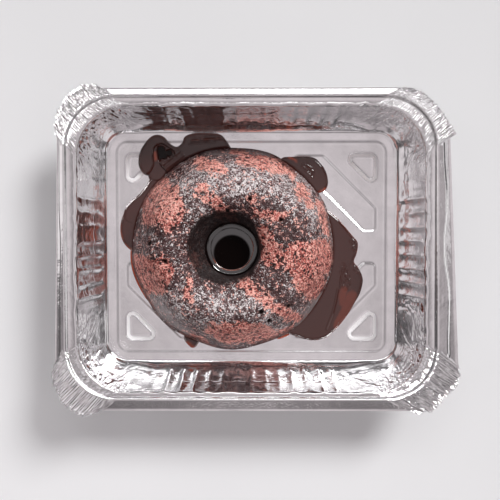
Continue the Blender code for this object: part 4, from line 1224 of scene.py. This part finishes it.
def glaze_colour(nodes, grain, blotch, smooth, glints):
    """Dark glaze that carries painted dim and white glints, with a painted pale sheen where it is thick."""
    glint_density = nodes.plus(nodes.times(glints, 0.115), nodes.centred(nodes.noise(75.0, 2.0, 0.5), 0.26))
    white = nodes.plus(nodes.noise(450.0, 1.0, 0.5, 1.5), glint_density)
    glaze = nodes.ramp(blotch, (0.35, GLAZE_DARK), (0.65, GLAZE))
    glaze = nodes.mix(nodes.ramp(nodes.plus(grain, glint_density), (0.54, 0.0), (0.62, 0.9)), glaze, GLINT_DIM)
    glaze = nodes.mix(nodes.ramp(white, (0.63, 0.0), (0.68, 1.0)), glaze, GLINT_WHITE)
    # Thick smooth glaze is painted pale as sheen
    return nodes.mix(nodes.times(smooth, 0.7), glaze, GLAZE_SHEEN)


def crust_material():
    """Chocolate sponge, covered in ragged patches by rough dark glaze that carries painted glints, with
    painted shade in its pores and pits, in the funnel and near the foot.
    """
    made = bpy.data.materials.new("cake_crust")
    nodes = Nodes(made)
    bare, pore_shade, smooth = map(nodes.field, ("bare", "pore_shade", "smooth"))
    glints, hole, side = map(nodes.field, ("glints", "hole", "side"))
    fine = nodes.noise(850.0, 1.0, 0.6)
    grain = nodes.noise(470.0, 1.0, 0.5, 1.0)
    blotch = nodes.noise(190.0, 3.0, 0.6)
    ragged = nodes.plus(nodes.centred(grain, 2.6), nodes.centred(blotch, 2.2), bare)
    mask = nodes.ramp(ragged, (0.40, 0.0), (0.60, 1.0))
    colour = nodes.mix(mask, glaze_colour(nodes, grain, blotch, smooth, glints),
                       sponge_colour(nodes, grain, fine, blotch, side, glints))
    # Pores and pits are painted near black as shade
    colour = nodes.mix(pore_shade, colour, HOLE_SHADE)
    rough = nodes.ramp(mask, (0.0, 0.22), (1.0, 0.60))
    rough = nodes.mix(nodes.math("MAXIMUM", side, hole), rough, 0.55)
    # The funnel is painted near black: dark glaze with painted shade
    nodes.shade(
        Base_Color=nodes.mix(nodes.times(hole, 0.93), colour, HOLE_SHADE),
        Roughness=nodes.mix(pore_shade, rough, 1.0),
        Normal=nodes.bump(grain, 1.3 * MM, nodes.bump(fine, 0.8 * MM)),
        IOR=CRUST_IOR)
    return made


def sauce_material(name, deep, thin, roughness, ior):
    """Runny chocolate sauce: nearly black where deep, red-brown where it thins out; in a gap it is painted
    black as shade.
    """
    made = bpy.data.materials.new(name)
    nodes = Nodes(made)
    depth = nodes.times(nodes.field("depth"), 1.0 / GAP_SHADE_DEPTH)
    mottled = nodes.plus(depth, nodes.centred(nodes.noise(70.0, 2.0), 0.15))
    between = tuple(lerp(a, b, 0.75) for a, b in zip(thin, deep))
    # The black painted as shade in gaps
    gap_shade = tuple(0.12 * value for value in deep)
    rough = nodes.ramp(nodes.noise(60.0, 3.0), (0.3, roughness), (0.7, 2.0 * roughness))
    stops = ((0.04, thin), (0.26, between), (0.57, deep), (0.78, deep), (0.95, gap_shade))
    nodes.shade(
        Base_Color=nodes.ramp(mottled, *stops),
        Roughness=nodes.mix(nodes.ramp(depth, (0.75, 0.0), (0.9, 1.0)), rough, 0.8),
        IOR=ior)
    return made


# Stage

def add_stage():
    made = bpy.data.materials.new("table")
    nodes = Nodes(made)
    colour = nodes.ramp(nodes.noise(3.0, 2.0), *TABLE_COLOURS)
    # Painted light and shade across the table
    shade = nodes.ramp(nodes.plus(nodes.towards(TABLE_SHADE_SLOPE), 0.5), *TABLE_SHADES)
    nodes.shade(Base_Color=nodes.mix(1.0, colour, shade, "MULTIPLY"), Roughness=0.7)
    mesh = bpy.data.meshes.new("table")
    corners = [(TABLE_HALF * x, TABLE_HALF * y, 0) for x, y in ((-1, -1), (1, -1), (1, 1), (-1, 1))]
    mesh.from_pydata(corners, [], [(0, 1, 2, 3)])
    mesh.materials.append(made)
    table = bpy.data.objects.new("table", mesh)
    bpy.context.scene.collection.objects.link(table)


def add_world():
    """Soft studio surroundings, brightest overhead, where a small dark spot stands for the lens."""
    world = bpy.data.worlds.new("studio")
    bpy.context.scene.world = world
    nodes = Nodes(world, "Generated")
    sky = nodes.ramp(nodes.towards((0.0, 0.0, 1.0)), *SKY)
    for direction, cosine, colour in PANELS:
        near = nodes.towards(Vector(direction).normalized())
        sky = nodes.mix(nodes.ramp(near, (cosine, 0.0), (cosine + PANEL_EDGE, 1.0)), sky, colour)
    near = nodes.math("SUBTRACT", nodes.towards(Vector(LENS_DIRECTION).normalized()), SPOT_BASE)
    edge = (math.cos(math.atan(LENS_SPOT)) - SPOT_BASE) * SPOT_SCALE
    spot = nodes.ramp(nodes.times(near, SPOT_SCALE), (edge - SPOT_EDGE, 0.0), (edge + SPOT_EDGE, 1.0))
    nodes.feed(nodes.tree.nodes["Background"], {"Color": nodes.mix(spot, sky, 0.01)})


def add_lamp(name, direction, distance, size, watts):
    """A soft lamp that looks at the tray."""
    light = bpy.data.lights.new(name, "AREA")
    light.shape = "ELLIPSE"
    light.energy = watts
    light.size, light.size_y = size
    lamp = bpy.data.objects.new(name, light)
    lamp.location = Vector(direction).normalized() * distance
    lamp.rotation_mode = "QUATERNION"
    lamp.rotation_quaternion = (-lamp.location).to_track_quat("-Z", "Y")
    bpy.context.scene.collection.objects.link(lamp)


def add_camera():
    camera = bpy.data.cameras.new("camera")
    camera.sensor_width = SENSOR
    camera.lens = LENS
    holder = bpy.data.objects.new("camera", camera)
    holder.location = CAMERA_PLACE
    holder.rotation_mode = "QUATERNION"
    turn = Matrix.Rotation(CAMERA_TURNS[0], 3, "X") @ Matrix.Rotation(CAMERA_TURNS[1], 3, "Y")
    holder.rotation_quaternion = turn.to_quaternion()
    bpy.context.scene.collection.objects.link(holder)
    bpy.context.scene.camera = holder


def main():
    bpy.context.scene.view_settings.view_transform = "Standard"
    add_camera()
    add_stage()
    add_world()
    for name, lamp in LAMPS.items():
        add_lamp(name, *lamp)

    floor = build_floor(foil_material("foil_floor", *FLOOR_FOIL))
    walls = build_walls(foil_material("foil_walls", *WALL_FOIL))
    rim = build_rim(foil_material("foil_rim", *RIM_FOIL))
    for piece in (floor, *walls, *rim):
        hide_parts("foil_tray")
    cake = build_cake(crust_material())
    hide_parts("cake")
    pool = build_pool(sauce_material("sauce_pool_shaded", *POOL_SAUCE_SHADED))
    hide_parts("sauce_pool")
    runny = sauce_material("sauce_runny", *RUNNY_SAUCE)
    for name, sauce in SAUCES.items():
        piece = build_sauce(name, sauce, runny)
        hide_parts(name)
    for name, film in FILMS.items():
        build_sauce(name, film, runny)


main()
